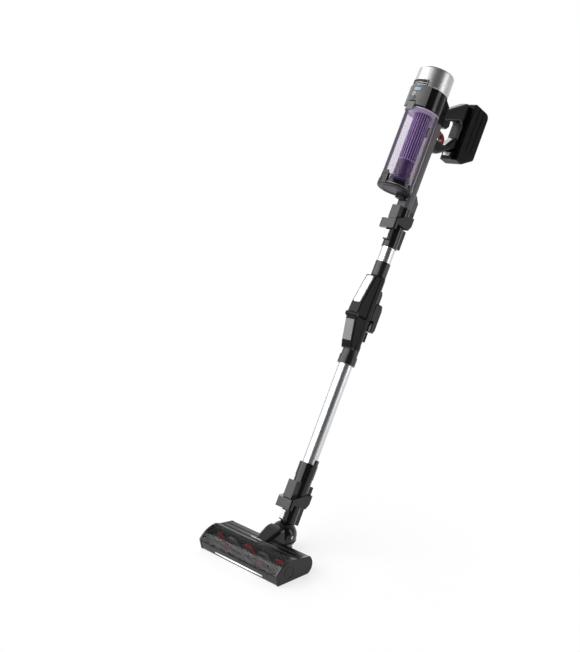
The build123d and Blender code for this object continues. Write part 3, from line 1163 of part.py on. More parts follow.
with BuildPart() as display_panel:
    panel_face = ring_sector(BAND_R + SEAT, BAND_R + PANEL, PANEL_ANGLE)
    extrude(WAND.offset(PANEL_LOW) * panel_face, amount=BAND_TOP - PANEL_LOW)
    tab_face = ring_sector(CAP_R + GAP, CAP_R + GAP + TAB, TAB_ANGLE)
    extrude(WAND.offset(BAND_TOP - 6) * tab_face, amount=TAB_TOP - BAND_TOP + 6)
    wand_block(catch_room, (catch_back, PANEL_OUT + 5), catch_up, mode=Mode.SUBTRACT)
    with Locations(key_plane):
        Cylinder(KEY_R + GAP, 20, align=BASE, mode=Mode.SUBTRACT)
display_panel.part.label = "display_panel"
export_step(display_panel.part, "parts/display_panel.step")

with BuildPart() as mode_button:
    with Locations(key_plane.offset(KEY_TRAVEL + GAP)):
        Cylinder(KEY_R, PANEL + 2.4 - KEY_TRAVEL - GAP + 0.8, align=BASE)
    fillet(mode_button.faces().sort_by(Axis(PIVOT, -BACK))[-1].edges(), radius=0.6)
mode_button.part.label = "mode_button"
export_step(mode_button.part, "parts/mode_button.step")

# Catch that holds the bin's rim to the band
CATCH_DROP = 12.0

with BuildPart() as bin_catch:
    catch_side = side_face(
        (catch_back + GAP, BIN_TOP + GAP),
        (catch_back + GAP, CATCH_TOP),
        (PANEL_OUT + 1, CATCH_TOP),
        (PANEL_OUT + 1, BIN_TOP - CATCH_DROP),
        (BIN_FRONT + BIN_R + 2.2, BIN_TOP - CATCH_DROP),
        (BIN_FRONT + BIN_R + 2.2, BIN_TOP + GAP),
    )
    extrude(catch_side, amount=CATCH_HALF, both=True)
bin_catch.part.label = "bin_catch"
export_step(bin_catch.part, "parts/bin_catch.step")

# Handle: two half shells round the hand opening, with the top arm, the rear post and the lower arm
ARM_TOP = BIN_TOP + ARM_RISE
ARM_FOOT = BIN_TOP - ARM_DROP
PACK_TOP = ARM_TOP + 6
PACK_LOW = PACK_TOP - BATTERY_HEIGHT
FOOT_TOP = PACK_LOW + BATTERY_FOOT
POST_LOW = FOOT_TOP + ARM_CLEAR
EDGE = 6.0  # rounding of the handle's long edges
SHELL = 4.0
TRIGGER_HALF = 6.0
TRIGGER_BACK = -24.0
TRIGGER_UP = BIN_TOP + 21
TRIGGER_PIN_R = 2.0
TRIGGER_ROOM = 1.2  # round the trigger as it swings
POST_FRONT = GRIP_FRONT - GRIP_SKIN
SKIN_LOW = BIN_TOP + 3
SKIN_HIGH = BIN_TOP + 37

handle_points = (
    (0, BIN_TOP + 40),
    (-14, BIN_TOP + 46),
    (GRIP_FRONT - 2, ARM_TOP),
    (GRIP_BACK, ARM_TOP - 4),
    (GRIP_BACK, POST_LOW),
    (GRIP_FRONT + 10, POST_LOW - 16),
    (-30, ARM_FOOT),
    (0, ARM_FOOT),
    (0, BIN_TOP - 30),
    (-48, BIN_TOP - 29),
    (GRIP_FRONT + 6, BIN_TOP - 3),
    (GRIP_FRONT, BIN_TOP + 4),
    (GRIP_FRONT, BIN_TOP + 38),
    (GRIP_FRONT + 8, BIN_TOP + 41),
    (-40, BIN_TOP + 29),
    (0, BIN_TOP + 8),
)
handle_radii = (0, 9, 9, 7, 12, 20, 20, 0, 0, 14, 6, 4, 5, 5, 20, 0)


def trigger_face(rise=0, room=0):
    """Side profile of the trigger; its pocket is higher and has room in front and behind."""
    return side_face(
        (TRIGGER_BACK + 4 + room, TRIGGER_UP + 3 + rise),
        (TRIGGER_BACK - 18 - room, TRIGGER_UP + 12 + rise),
        (TRIGGER_BACK - 20 - room, TRIGGER_UP - 4),
        (TRIGGER_BACK - 13 - room, TRIGGER_UP - 14),
        (TRIGGER_BACK - 3, TRIGGER_UP - 15 - room),
        (TRIGGER_BACK + 4 + room, TRIGGER_UP - 8),
    )


with BuildPart() as handle_right:
    extrude(side_face(*handle_points, radii=handle_radii), amount=GRIP_HALF)
    outer_face = handle_right.faces().sort_by(Axis.X)[-1]
    fillet(outer_face.edges(), radius=EDGE)
    post_room = (GRIP_BACK + RAIL + 3, POST_FRONT - 3)
    wand_block((0, GRIP_HALF - SHELL), post_room, (POST_LOW + 6, ARM_TOP - 16), mode=Mode.SUBTRACT)
    skin = (GRIP_BACK + 3, GRIP_FRONT + 1)
    wand_block((GRIP_HALF - GRIP_SKIN - SEAT, GRIP_HALF), skin, (SKIN_LOW, SKIN_HIGH), mode=Mode.SUBTRACT)
    wand_block((0, GRIP_HALF), (POST_FRONT, GRIP_FRONT + 1), (SKIN_LOW, SKIN_HIGH), mode=Mode.SUBTRACT)
    wand_block((0, RAIL_HALF + GAP), (GRIP_BACK, GRIP_BACK + RAIL + GAP), (0, ARM_TOP), mode=Mode.SUBTRACT)
    extrude(trigger_face(8, TRIGGER_ROOM), amount=TRIGGER_HALF + GAP, mode=Mode.SUBTRACT)
    pin_x = (0, TRIGGER_HALF + 4)
    cross_bar(TRIGGER_PIN_R + FIT, pin_x, TRIGGER_BACK, TRIGGER_UP, mode=Mode.SUBTRACT)
    wand_bar(BACK_R + SEAT, BIN_TOP - SEAT, ARM_TOP, mode=Mode.SUBTRACT)
    wand_bar(SPINE_R + SEAT, 0, BIN_TOP, mode=Mode.SUBTRACT)
handle_right.part.label = "handle_right"
export_step(handle_right.part, "parts/handle_right.step")

with BuildPart() as handle_left:
    mirror(handle_right.part, about=Plane.YZ)
handle_left.part.label = "handle_left"
export_step(handle_left.part, "parts/handle_left.step")

# Soft grip wrapped round the post
with BuildPart() as grip_rubber:
    with BuildSketch(WAND.offset(SKIN_LOW + SEAT)):
        with Locations((0, -(GRIP_FRONT + GRIP_BACK + 3) / 2)):
            RectangleRounded(2 * GRIP_HALF, GRIP_FRONT - GRIP_BACK - 3 - SEAT, GRIP_CORNER)
        inner_y = -(POST_FRONT + GRIP_BACK) / 2
        with Locations((0, inner_y)):
            Rectangle(2 * (GRIP_HALF - GRIP_SKIN), POST_FRONT - GRIP_BACK + SEAT, mode=Mode.SUBTRACT)
    extrude(amount=SKIN_HIGH - SKIN_LOW - 2 * SEAT)
    for groove in range(GROOVES):
        low = SKIN_LOW + SEAT + (groove + 0.7) * (SKIN_HIGH - SKIN_LOW) / GROOVES
        with BuildSketch(WAND.offset(low)):
            with Locations((0, -(GRIP_FRONT + GRIP_BACK + 3) / 2)):
                Rectangle(2 * GRIP_HALF + 2, GRIP_FRONT - GRIP_BACK + 2)
                flat = GRIP_FRONT - GRIP_BACK - 3 - SEAT - 2 * GROOVE
                RectangleRounded(2 * (GRIP_HALF - GROOVE), flat, GRIP_CORNER - GROOVE, mode=Mode.SUBTRACT)
        extrude(amount=GROOVE_WIDTH, mode=Mode.SUBTRACT)
grip_rubber.part.label = "grip_rubber"
export_step(grip_rubber.part, "parts/grip_rubber.step")

# Power trigger under the top arm
with BuildPart() as power_trigger:
    extrude(trigger_face(), amount=TRIGGER_HALF, both=True)
    pin_x = (-TRIGGER_HALF - 3.5, TRIGGER_HALF + 3.5)
    cross_bar(TRIGGER_PIN_R, pin_x, TRIGGER_BACK, TRIGGER_UP)
power_trigger.part.label = "power_trigger"
export_step(power_trigger.part, "parts/power_trigger.step")

# Red lever between the spine and the lower arm, which lets the lid drop
with BuildPart() as lid_release_lever:
    lever_side = side_face(
        (LEVER_BACK + 2.4, LEVER_UP + 3.5),
        (LEVER_BACK - 13, LEVER_UP + 3.5),
        (LEVER_BACK - 24, LEVER_UP - 4),
        (LEVER_BACK - 25, LEVER_UP - 16.5),
        (LEVER_BACK - 16, LEVER_UP - 16.5),
        (LEVER_BACK - 15, LEVER_UP - 9),
        (LEVER_BACK - 9, LEVER_UP - 3.5),
        (LEVER_BACK + 2.4, LEVER_UP - 3.5),
        radii=(2, 9, 9, 2, 2, 6, 4, 2),
    )
    extrude(lever_side, amount=LEVER_HALF, both=True)
    pin_x = (-LEVER_HALF - 2.8, LEVER_HALF + 2.8)
    cross_bar(LEVER_PIN_R, pin_x, LEVER_BACK, LEVER_UP)
lid_release_lever.part.label = "lid_release_lever"
export_step(lid_release_lever.part, "parts/lid_release_lever.step")

# Battery pack on a rail behind the post, with a foot under the lower arm
PACK_FRONT = GRIP_BACK - GAP
FOOT_FRONT = GRIP_FRONT - 2
PACK_WALL = 2.5
PACK_GROOVE = 1.0
PUSH_HALF = 9.5
JACK_UP = PACK_LOW + 60
PUSH_UP = (PACK_LOW + FOOT_CHAMFER, FOOT_TOP - 2)

with BuildPart() as battery_housing:
    pack_side = side_face(
        (PACK_FRONT, PACK_TOP),
        (BATTERY_BACK, PACK_TOP),
        (BATTERY_BACK, PACK_LOW + 26),
        (BATTERY_BACK + 36, PACK_LOW),
        (PACK_FRONT, PACK_LOW),
        radii=(7, 14, 8, 8, 0),
    )
    extrude(pack_side, amount=BATTERY_HALF, both=True)
    ends = battery_housing.faces().sort_by(Axis.X)
    fillet(ends[0].edges() + ends[-1].edges(), radius=4.5)
    for side in (-1, 1):
        skin_x = sorted((side * (BATTERY_HALF - PACK_GROOVE), side * BATTERY_HALF))
        for groove_back in (PACK_FRONT - 18, PACK_FRONT - 36):
            groove_front = (groove_back - 3, groove_back)
            wand_block(skin_x, groove_front, (PACK_LOW + 34, PACK_TOP), mode=Mode.SUBTRACT)
    foot_side = side_face(
        (PACK_FRONT - 4, FOOT_TOP),
        (FOOT_FRONT, FOOT_TOP),
        (FOOT_FRONT, PACK_LOW + FOOT_CHAMFER - 1),
        (FOOT_FRONT - FOOT_CHAMFER, PACK_LOW),
        (PACK_FRONT - 4, PACK_LOW),
    )
    extrude(foot_side, amount=PUSH_HALF + 3.5, both=True)
    wand_block((-RAIL_HALF, RAIL_HALF), (PACK_FRONT - 1, PACK_FRONT + RAIL), (POST_LOW + 8, ARM_TOP - 14))
    cell_room = (BATTERY_BACK + CELL_ROOM_BACK, PACK_FRONT - 8)
    room_x = (PACK_WALL + 0.5 - BATTERY_HALF, BATTERY_HALF - PACK_WALL - 0.5)
    wand_block(room_x, cell_room, (PACK_LOW + CELL_FLOOR, PACK_TOP - 8), mode=Mode.SUBTRACT)
    push_room = (-PUSH_HALF - GAP, PUSH_HALF + GAP)
    push_front = (FOOT_FRONT - 5 - GAP, FOOT_FRONT)
    wand_block(push_room, push_front, (PUSH_UP[0] - GAP, PUSH_UP[1] + GAP), mode=Mode.SUBTRACT)
    jack_plane = Plane(origin=PIVOT - BACK * BATTERY_BACK + UP * JACK_UP, z_dir=-BACK)
    with Locations(jack_plane):
        Cylinder(JACK_R, JACK_DEPTH, align=BASE, mode=Mode.SUBTRACT)
battery_housing.part.label = "battery_housing"
export_step(battery_housing.part, "parts/battery_housing.step")

with BuildPart() as battery_cells:
    cell_step = 2 * (CELL_R + CELL_SPACE)
    first_cell = BATTERY_BACK + CELL_ROOM_BACK + CELL_SPACE / 2 + CELL_R
    for across in (-cell_step / 2, cell_step / 2):
        for cell_front in (first_cell, first_cell + cell_step):
            cell_foot = WAND.offset(PACK_LOW + CELL_FLOOR)
            with Locations(cell_foot.location * Location((across, -cell_front, 0))):
                Cylinder(CELL_R, CELL_LENGTH, align=BASE)
battery_cells.part.label = "battery_cells"
export_step(battery_cells.part, "parts/battery_cells.step")

with BuildPart() as battery_button:
    wand_block((-PUSH_HALF, PUSH_HALF), (FOOT_FRONT - 2.5, FOOT_FRONT + 1.5), PUSH_UP)
    touch = battery_button.faces().sort_by(Axis(PIVOT, -BACK))[-1]
    fillet(touch.edges(), radius=1.2)
battery_button.part.label = "battery_button"
export_step(battery_button.part, "parts/battery_button.step")
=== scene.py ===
import json
from math import cos, pi, radians, sin, tau

import bmesh
import bpy
from mathutils import Matrix, Vector


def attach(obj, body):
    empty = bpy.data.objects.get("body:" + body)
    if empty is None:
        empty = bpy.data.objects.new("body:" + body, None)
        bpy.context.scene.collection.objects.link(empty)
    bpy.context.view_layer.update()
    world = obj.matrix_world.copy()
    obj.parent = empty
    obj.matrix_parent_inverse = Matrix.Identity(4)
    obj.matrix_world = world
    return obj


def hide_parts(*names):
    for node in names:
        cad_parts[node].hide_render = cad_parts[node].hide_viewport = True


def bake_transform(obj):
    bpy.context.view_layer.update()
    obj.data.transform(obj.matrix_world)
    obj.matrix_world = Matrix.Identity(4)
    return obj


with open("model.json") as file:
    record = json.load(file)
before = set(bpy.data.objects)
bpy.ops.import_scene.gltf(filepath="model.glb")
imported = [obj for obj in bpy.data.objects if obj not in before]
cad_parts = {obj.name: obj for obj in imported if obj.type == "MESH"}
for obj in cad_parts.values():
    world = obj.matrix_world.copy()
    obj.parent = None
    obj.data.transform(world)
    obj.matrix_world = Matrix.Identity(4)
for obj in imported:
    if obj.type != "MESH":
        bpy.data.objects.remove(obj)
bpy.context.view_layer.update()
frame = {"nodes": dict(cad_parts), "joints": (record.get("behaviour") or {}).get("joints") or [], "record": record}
nodes = frame["nodes"]

# Axes of the room, then the wand's own, read from the joints: up along it and ahead of it
ACROSS = Vector((1, 0, 0))
REARWARD = Vector((0, 1, 0))
UPWARD = Vector((0, 0, 1))
joints = {joint["name"]: joint for joint in frame["joints"]}
UP = Vector(joints["neck_swivel"]["axis"])
AHEAD = ACROSS.cross(UP)
LEAN = UP.angle(UPWARD)
PIVOT = Vector(joints["neck_swivel"]["pos_m"])
BIN_AXIS = Vector(joints["fan_spin"]["pos_m"])
BRUSH_AXIS = Vector(joints["brush_spin"]["pos_m"])


def axes_matrix(origin, x_axis, y_axis, z_axis):
    """Matrix that carries a shape drawn at the origin to a place with these axes."""
    turn = Matrix((x_axis, y_axis, z_axis)).transposed().to_4x4()
    return Matrix.Translation(origin) @ turn


WAND = axes_matrix(PIVOT, ACROSS, -AHEAD, UP)
BIN = axes_matrix(BIN_AXIS, ACROSS, -AHEAD, UP)
BRUSH = axes_matrix(BRUSH_AXIS, REARWARD, UPWARD, ACROSS)

# Rays that look for a face start this far out, clear of the piece
OUTSIDE = 0.3


def reach(node, axes):
    """Lowest and highest corner of a CAD node, measured along these axes."""
    inverse = axes.inverted()
    points = [inverse @ vertex.co for vertex in nodes[node].data.vertices]
    low = Vector([min(point[axis] for point in points) for axis in range(3)])
    high = Vector([max(point[axis] for point in points) for axis in range(3)])
    return low, high


def on_face(node, start, direction):
    """Matrix of the place where a ray meets a CAD node: y goes in, z as far up as it can."""
    hit, point, normal = nodes[node].ray_cast(start, direction)[:3]
    if not hit:
        raise ValueError("nothing to sit on: " + node)
    faces_sideways = abs(normal.x) >= 0.5
    along = REARWARD if faces_sideways else ACROSS
    upright = along.cross(-normal).normalized()
    if upright.dot(UP) < 0:
        upright = -upright
    return axes_matrix(point, (-normal).cross(upright), -normal, upright)


class Socket:
    """An output in a node tree that takes part in Python arithmetic."""

    def __init__(self, shading, output):
        self.shading = shading
        self.output = output

    def math(self, operation, first, second):
        return self.shading.make("Math", {"operation": operation}, _0=first, _1=second)

    def __add__(self, other):
        return self.math("ADD", self, other)

    __radd__ = __add__

    def __mul__(self, other):
        return self.math("MULTIPLY", self, other)

    __rmul__ = __mul__

    def __rsub__(self, other):
        return self.math("SUBTRACT", other, self)

    def above(self, other):
        return self.math("MAXIMUM", self, other)


class Shading:
    """A node tree, with a method that makes any node in it and short forms for the common ones."""

    def __init__(self, tree):
        self.tree = tree

    def feed(self, socket, value):
        if isinstance(value, Socket):
            self.tree.links.new(value.output, socket)
        elif isinstance(value, (tuple, list)) and len(value) == 3 and socket.type == "RGBA":
            socket.default_value = (*value, 1)
        else:
            socket.default_value = value

    def make(self, kind, settings=None, out=0, **sockets):
        """New node, its inputs given by name, or by number as in _0, and one of its outputs."""
        node = self.tree.nodes.new("ShaderNode" + kind)
        for key, value in (settings or {}).items():
            setattr(node, key, value)
        for key, value in sockets.items():
            number = key[1:]
            socket = node.inputs[int(number) if number.isdigit() else key.replace("_", " ")]
            self.feed(socket, value)
        return Socket(self, node.outputs[out])

    def vector(self, operation, out, **sockets):
        return self.make("VectorMath", {"operation": operation}, out=out, **sockets)

    def part(self, axis, vector):
        return self.make("SeparateXYZ", out=axis, Vector=vector)

    def ray(self, kind):
        return self.make("LightPath", out=kind)


WORN_SAMPLES = 4
WORN_FROM = 0.02
WORN_FULL = 0.3


class Finish(Shading):
    """One procedural surface finish, built on the shader of a new material."""

    def __init__(self, name, **constants):
        self.material = bpy.data.materials.new(name)
        self.material.use_nodes = True
        super().__init__(self.material.node_tree)
        self.shader = self.tree.nodes["Principled BSDF"]
        self.set(**constants)

    def set(self, **values):
        for key, value in values.items():
            self.feed(self.shader.inputs[key.replace("_", " ")], value)

    def colour(self, value):
        """Sets the base colour, and keeps it for a finish that is worked over later."""
        self.base = value
        self.set(Base_Color=value)

    def place(self, scale=(1, 1, 1), along_wand=False):
        """Object coordinates, turned so that z runs along the wand where that is asked for."""
        coordinates = self.make("TexCoord", out="Object")
        turn = (LEAN if along_wand else 0, 0, 0)
        turned_place = self.make("Mapping", Vector=coordinates, Rotation=turn)
        return self.make("Mapping", Vector=turned_place, Scale=scale)

    def wand_place(self, origin):
        """Coordinates along the wand's axes, counted from this point of the part."""
        start = Matrix.Rotation(LEAN, 3, "X") @ origin
        return self.make("Mapping", Vector=self.place(along_wand=True), Location=-start)

    def noise(self, scale, detail=3.0, at=None):
        return self.make("TexNoise", Vector=at or self.place(), Scale=scale, Detail=detail)

    def blend(self, factor, low, high):
        return self.make("Mix", {"data_type": "RGBA"}, out=2, Factor=factor, _6=low, _7=high)

    def band(self, value, low, high):
        """0 up to the low value, 1 from the high one on, smooth between."""
        settings = {"interpolation_type": "SMOOTHSTEP"}
        return self.make("MapRange", settings, Value=value, From_Min=low, From_Max=high)

    def worn_edge(self, radius):
        """Strongest along sharp edges, where a finish rubs off first."""
        rounded = self.make("Bevel", {"samples": WORN_SAMPLES}, Radius=radius)
        true = self.make("NewGeometry", out="Normal")
        same = self.vector("DOT_PRODUCT", "Value", _0=rounded, _1=true)
        return self.band(1 - same, WORN_FROM, WORN_FULL)

    def edge_on(self, start, full):
        """0 where a clear wall is looked straight through, 1 where it is seen along its thickness."""
        return self.band(self.make("LayerWeight", out="Facing", Blend=0.5), start, full)

    def bump(self, height, distance):
        self.set(Normal=self.make("Bump", Height=height, Distance=distance, Strength=1.0))


CLOUD_SCALE = 18
HANDLED_SCALE = 55
RUBBED_SCALE = 70
RUBBED_REACH = 0.0006
RUBBED_ROUGHER = 0.2
RUBBED_GAIN = 1.4
RUBBED_LIFT = 0.02


def plastic(name, low, high, roughness, spread, grain, depth, wear=0.4, specular=0.38, metallic=0.0):
    """Moulded plastic: cloudy colour, handled patches in the gloss, fine grain, paler rubbed edges."""
    finish = Finish(name, Specular_IOR_Level=specular, Metallic=metallic)
    rubbed = finish.worn_edge(RUBBED_REACH) * finish.noise(RUBBED_SCALE) * wear
    paler = tuple(channel * RUBBED_GAIN + RUBBED_LIFT for channel in high)
    cloudy = finish.blend(finish.noise(CLOUD_SCALE, 4), low, high)
    finish.colour(finish.blend(rubbed, cloudy, paler))
    finish.set(Roughness=roughness + spread * finish.noise(HANDLED_SCALE, 5) + RUBBED_ROUGHER * rubbed)
    finish.bump(finish.noise(grain, 2), depth)
    return finish


STROKE_DEPTH = 0.00002
STROKE_SHADE = 0.8
STROKE_ROUGHER = 0.14
PATCH_SCALE = 30
PATCH_ROUGHER = 0.08


def brushed_metal(name, colour, strokes, roughness):
    """Metal with fine strokes that run along or round the wand, and rubbed patches."""
    finish = Finish(name, Metallic=1.0)
    stroke = finish.noise(1.0, 3, finish.place(strokes, along_wand=True))
    shade = tuple(channel * STROKE_SHADE for channel in colour)
    finish.colour(finish.blend(stroke, shade, colour))
    rougher = STROKE_ROUGHER * stroke + PATCH_ROUGHER * finish.noise(PATCH_SCALE)
    finish.set(Roughness=roughness + rougher)
    finish.bump(stroke, STROKE_DEPTH)
    return finish


CLEAR_TINT_SCALE = 14
HAZE_SCALE = 9
HAZE = 0.015
SMOKE = 0.2
SMOKE_EDGE_ON = 0.5


def smoked_window():
    """Dark clear plastic over the brush, denser where it is seen edge on."""
    finish = Finish("smoked_clear", IOR=1.5, Specular_IOR_Level=0.6)
    tint = finish.noise(CLEAR_TINT_SCALE)
    finish.colour(finish.blend(tint, (0.003, 0.003, 0.004), (0.007, 0.007, 0.008)))
    finish.set(Alpha=SMOKE + SMOKE_EDGE_ON * finish.edge_on(start=0.45, full=0.72))
    finish.set(Roughness=0.05 + HAZE * finish.noise(HAZE_SCALE, 2))
    return finish


# Painted pale reflection on the rear of the bin, strongest along the spine: its colour's noise scale, where it
# starts and how opaque it is
PALE_REFLECTION_SCALE = 20
REAR_HALF = (-0.01, 0.002)
REAR_PAINTED_REFLECTION = 0.12
BY_SPINE = (0.026, 0.032)
SPINE_PAINTED_REFLECTION = 0.6
BIN_ALPHA = 0.07
THICK_EDGE_SHADE_ALPHA = 0.9
THICK_EDGE_SHADE_ROUGHER = 0.45


def lilac_bin():
    """Clear lilac plastic, near black and nearly opaque where seen edge on, from deeper tint through its thickness
    and from painted shade along those edges; a painted pale reflection covers the rear of the bin, strongest along
    the spine.
    """
    finish = Finish("lilac_clear", IOR=1.5, Specular_IOR_Level=0.5)
    rearward = finish.part("Y", finish.wand_place(BIN_AXIS))
    rear_half = finish.band(rearward, *REAR_HALF)
    # Painted pale reflection: paler and less clear over the rear half, most of all along the spine
    painted_reflection_cover = REAR_PAINTED_REFLECTION * rear_half + SPINE_PAINTED_REFLECTION * finish.band(rearward, *BY_SPINE)
    clear = finish.blend(finish.noise(CLEAR_TINT_SCALE), (0.3, 0.14, 0.5), (0.36, 0.2, 0.56))
    painted_reflection_colour = finish.blend(finish.noise(PALE_REFLECTION_SCALE), (0.84, 0.76, 0.9), (0.92, 0.86, 0.96))
    lilac = finish.blend(rear_half, clear, painted_reflection_colour)
    # Painted shade along the edges seen edge on, over the deeper tint of the thickness: near black and nearly
    # opaque there
    thick_edge_shade = finish.edge_on(start=0.38, full=0.48) * (1 - finish.edge_on(start=0.64, full=0.76))
    finish.colour(finish.blend(thick_edge_shade, lilac, (0.012, 0.006, 0.018)))
    finish.set(Alpha=(BIN_ALPHA + painted_reflection_cover).above(THICK_EDGE_SHADE_ALPHA * thick_edge_shade))
    finish.set(Roughness=0.04 + HAZE * finish.noise(HAZE_SCALE, 2) + THICK_EDGE_SHADE_ROUGHER * thick_edge_shade)
    return finish


# One finish for each material slot of the record
finishes = {
    "black_plastic": plastic(
        "gloss_black", (0.003, 0.003, 0.0035), (0.007, 0.007, 0.0075),
        roughness=0.08, spread=0.14, grain=900, depth=0.00001,
    ),
    "dark_plastic": plastic(
        "satin_charcoal", (0.007, 0.007, 0.0075), (0.014, 0.014, 0.015),
        roughness=0.2, spread=0.16, grain=1600, depth=0.00002, specular=0.3,
    ),
    "tube_metal": brushed_metal("satin_tube", (0.68, 0.69, 0.71), strokes=(260, 260, 3), roughness=0.2),
    "cap_metal": brushed_metal("turned_cap", (0.68, 0.68, 0.69), strokes=(6, 6, 1100), roughness=0.27),
    "silver_plastic": plastic(
        "silver_lacquer", (0.6, 0.6, 0.62), (0.66, 0.66, 0.68),
        roughness=0.34, spread=0.05, grain=900, depth=0.000002, metallic=0.55,
    ),
    "clear_plastic": lilac_bin(),
    "smoked_plastic": smoked_window(),
    "purple_plastic": plastic(
        "purple_satin", (0.05, 0.014, 0.1), (0.09, 0.03, 0.17),
        roughness=0.26, spread=0.16, grain=1300, depth=0.00002,
    ),
    "red_plastic": plastic(
        "dark_red", (0.16, 0.004, 0.012), (0.24, 0.008, 0.02),
        roughness=0.12, spread=0.12, grain=1200, depth=0.00001,
    ),
    "bristles": plastic(
        "red_nylon", (0.42, 0.012, 0.03), (0.62, 0.03, 0.06),
        roughness=0.4, spread=0.2, grain=2500, depth=0.00003, wear=0,
    ),
    "felt": plastic(
        "black_felt", (0.012, 0.012, 0.012), (0.035, 0.035, 0.035),
        roughness=0.8, spread=0.15, grain=3000, depth=0.0002, wear=0,
    ),
    "soft_rubber": plastic(
        "grey_rubber", (0.035, 0.035, 0.038), (0.06, 0.06, 0.064),
        roughness=0.45, spread=0.2, grain=2200, depth=0.00005,
    ),
    "steel": brushed_metal("turned_steel", (0.5, 0.5, 0.52), strokes=(500, 500, 40), roughness=0.25),
    "motor_metal": brushed_metal("motor_can", (0.42, 0.42, 0.44), strokes=(20, 20, 700), roughness=0.3),
    "cell_wrap": plastic(
        "cell_wrap", (0.03, 0.12, 0.28), (0.05, 0.17, 0.36),
        roughness=0.3, spread=0.15, grain=900, depth=0.00001,
    ),
    "lamp_lens": plastic(
        "frosted_lamp", (0.8, 0.82, 0.85), (0.9, 0.91, 0.93),
        roughness=0.3, spread=0.2, grain=2000, depth=0.00003, wear=0,
    ),
    "filter_paper": plastic(
        "filter_paper", (0.62, 0.6, 0.55), (0.74, 0.72, 0.68),
        roughness=0.8, spread=0.15, grain=1800, depth=0.0002, wear=0,
    ),
}

# The cyclone's colour is painted light: a painted highlight along the outer edges of its slats, a painted pale
# reflection on its flange, and painted shade, near black, everywhere else
CYCLONE_BACK = 0.006
SLAT_RADII = (0.0185, 0.0197)
SLAT_HEIGHTS = (-0.117, -0.116)
FLANGE_RADII = (0.0212, 0.0222)
FLANGE_HEIGHTS = (-0.097, -0.087)
cyclone = finishes["purple_plastic"]
centred = cyclone.wand_place(BIN_AXIS - AHEAD * CYCLONE_BACK)
level_place = cyclone.vector("MULTIPLY", 0, _0=centred, _1=(1, 1, 0))
from_axis = cyclone.vector("LENGTH", "Value", _0=level_place)
cyclone_height = cyclone.part("Z", centred)
lit_slat_edge = cyclone.band(from_axis, *SLAT_RADII) * cyclone.band(cyclone_height, *SLAT_HEIGHTS)
flange_reflection = cyclone.band(from_axis, *FLANGE_RADII) * cyclone.band(cyclone_height, *FLANGE_HEIGHTS)
# Painted highlight on the slats' outer edges, over painted shade within and below them
slat_highlight_colour = cyclone.blend(cyclone.noise(40), (0.34, 0.22, 0.5), (0.42, 0.3, 0.58))
slat_highlight_and_shade = cyclone.blend(lit_slat_edge, (0.012, 0.004, 0.022), slat_highlight_colour)
cyclone.colour(cyclone.blend(flange_reflection, slat_highlight_and_shade, (0.72, 0.6, 0.8)))

# The lamp is brightest in its middle and dies away towards its ends
LAMP_FADE = (0.03, 0.075)
lamp = finishes["lamp_lens"]
lamp_x = lamp.part("X", lamp.make("TexCoord", out="Object"))
from_middle = lamp.make("Math", {"operation": "ABSOLUTE"}, _0=lamp_x)
lamp_glow = lamp.blend(lamp.band(from_middle, *LAMP_FADE), (1, 1, 1), (0.03, 0.03, 0.03))
lamp.set(Emission_Color=lamp_glow, Emission_Strength=1.0)

# Marks and small trim
grey_nylon = plastic(
    "grey_nylon", (0.16, 0.16, 0.165), (0.3, 0.3, 0.31),
    roughness=0.4, spread=0.2, grain=2500, depth=0.00003, wear=0,
)
dark_mark = plastic(
    "dark_mark", (0.004, 0.004, 0.005), (0.01, 0.01, 0.011),
    roughness=0.4, spread=0.2, grain=3000, depth=0.00001, wear=0,
)
white_mark = plastic(
    "white_mark", (0.7, 0.71, 0.73), (0.82, 0.83, 0.85),
    roughness=0.35, spread=0.2, grain=3000, depth=0.00001, wear=0,
)
lip_lilac = plastic(
    "lip_lilac", (0.62, 0.56, 0.68), (0.72, 0.67, 0.77),
    roughness=0.2, spread=0.08, grain=900, depth=0.000002, wear=0,
)
strip_silver = plastic(
    "strip_silver", (0.64, 0.64, 0.65), (0.72, 0.72, 0.73),
    roughness=0.6, spread=0.1, grain=2600, depth=0.000004, specular=0.1,
)
screen_glass = plastic(
    "screen_glass", (0.12, 0.17, 0.25), (0.17, 0.23, 0.32),
    roughness=0.08, spread=0.06, grain=2500, depth=0.000004, wear=0,
)
screen_glow = screen_glass.blend(screen_glass.noise(300, 1), (0.1, 0.15, 0.24), (0.2, 0.27, 0.38))
screen_glass.set(Emission_Color=screen_glow, Emission_Strength=0.35)

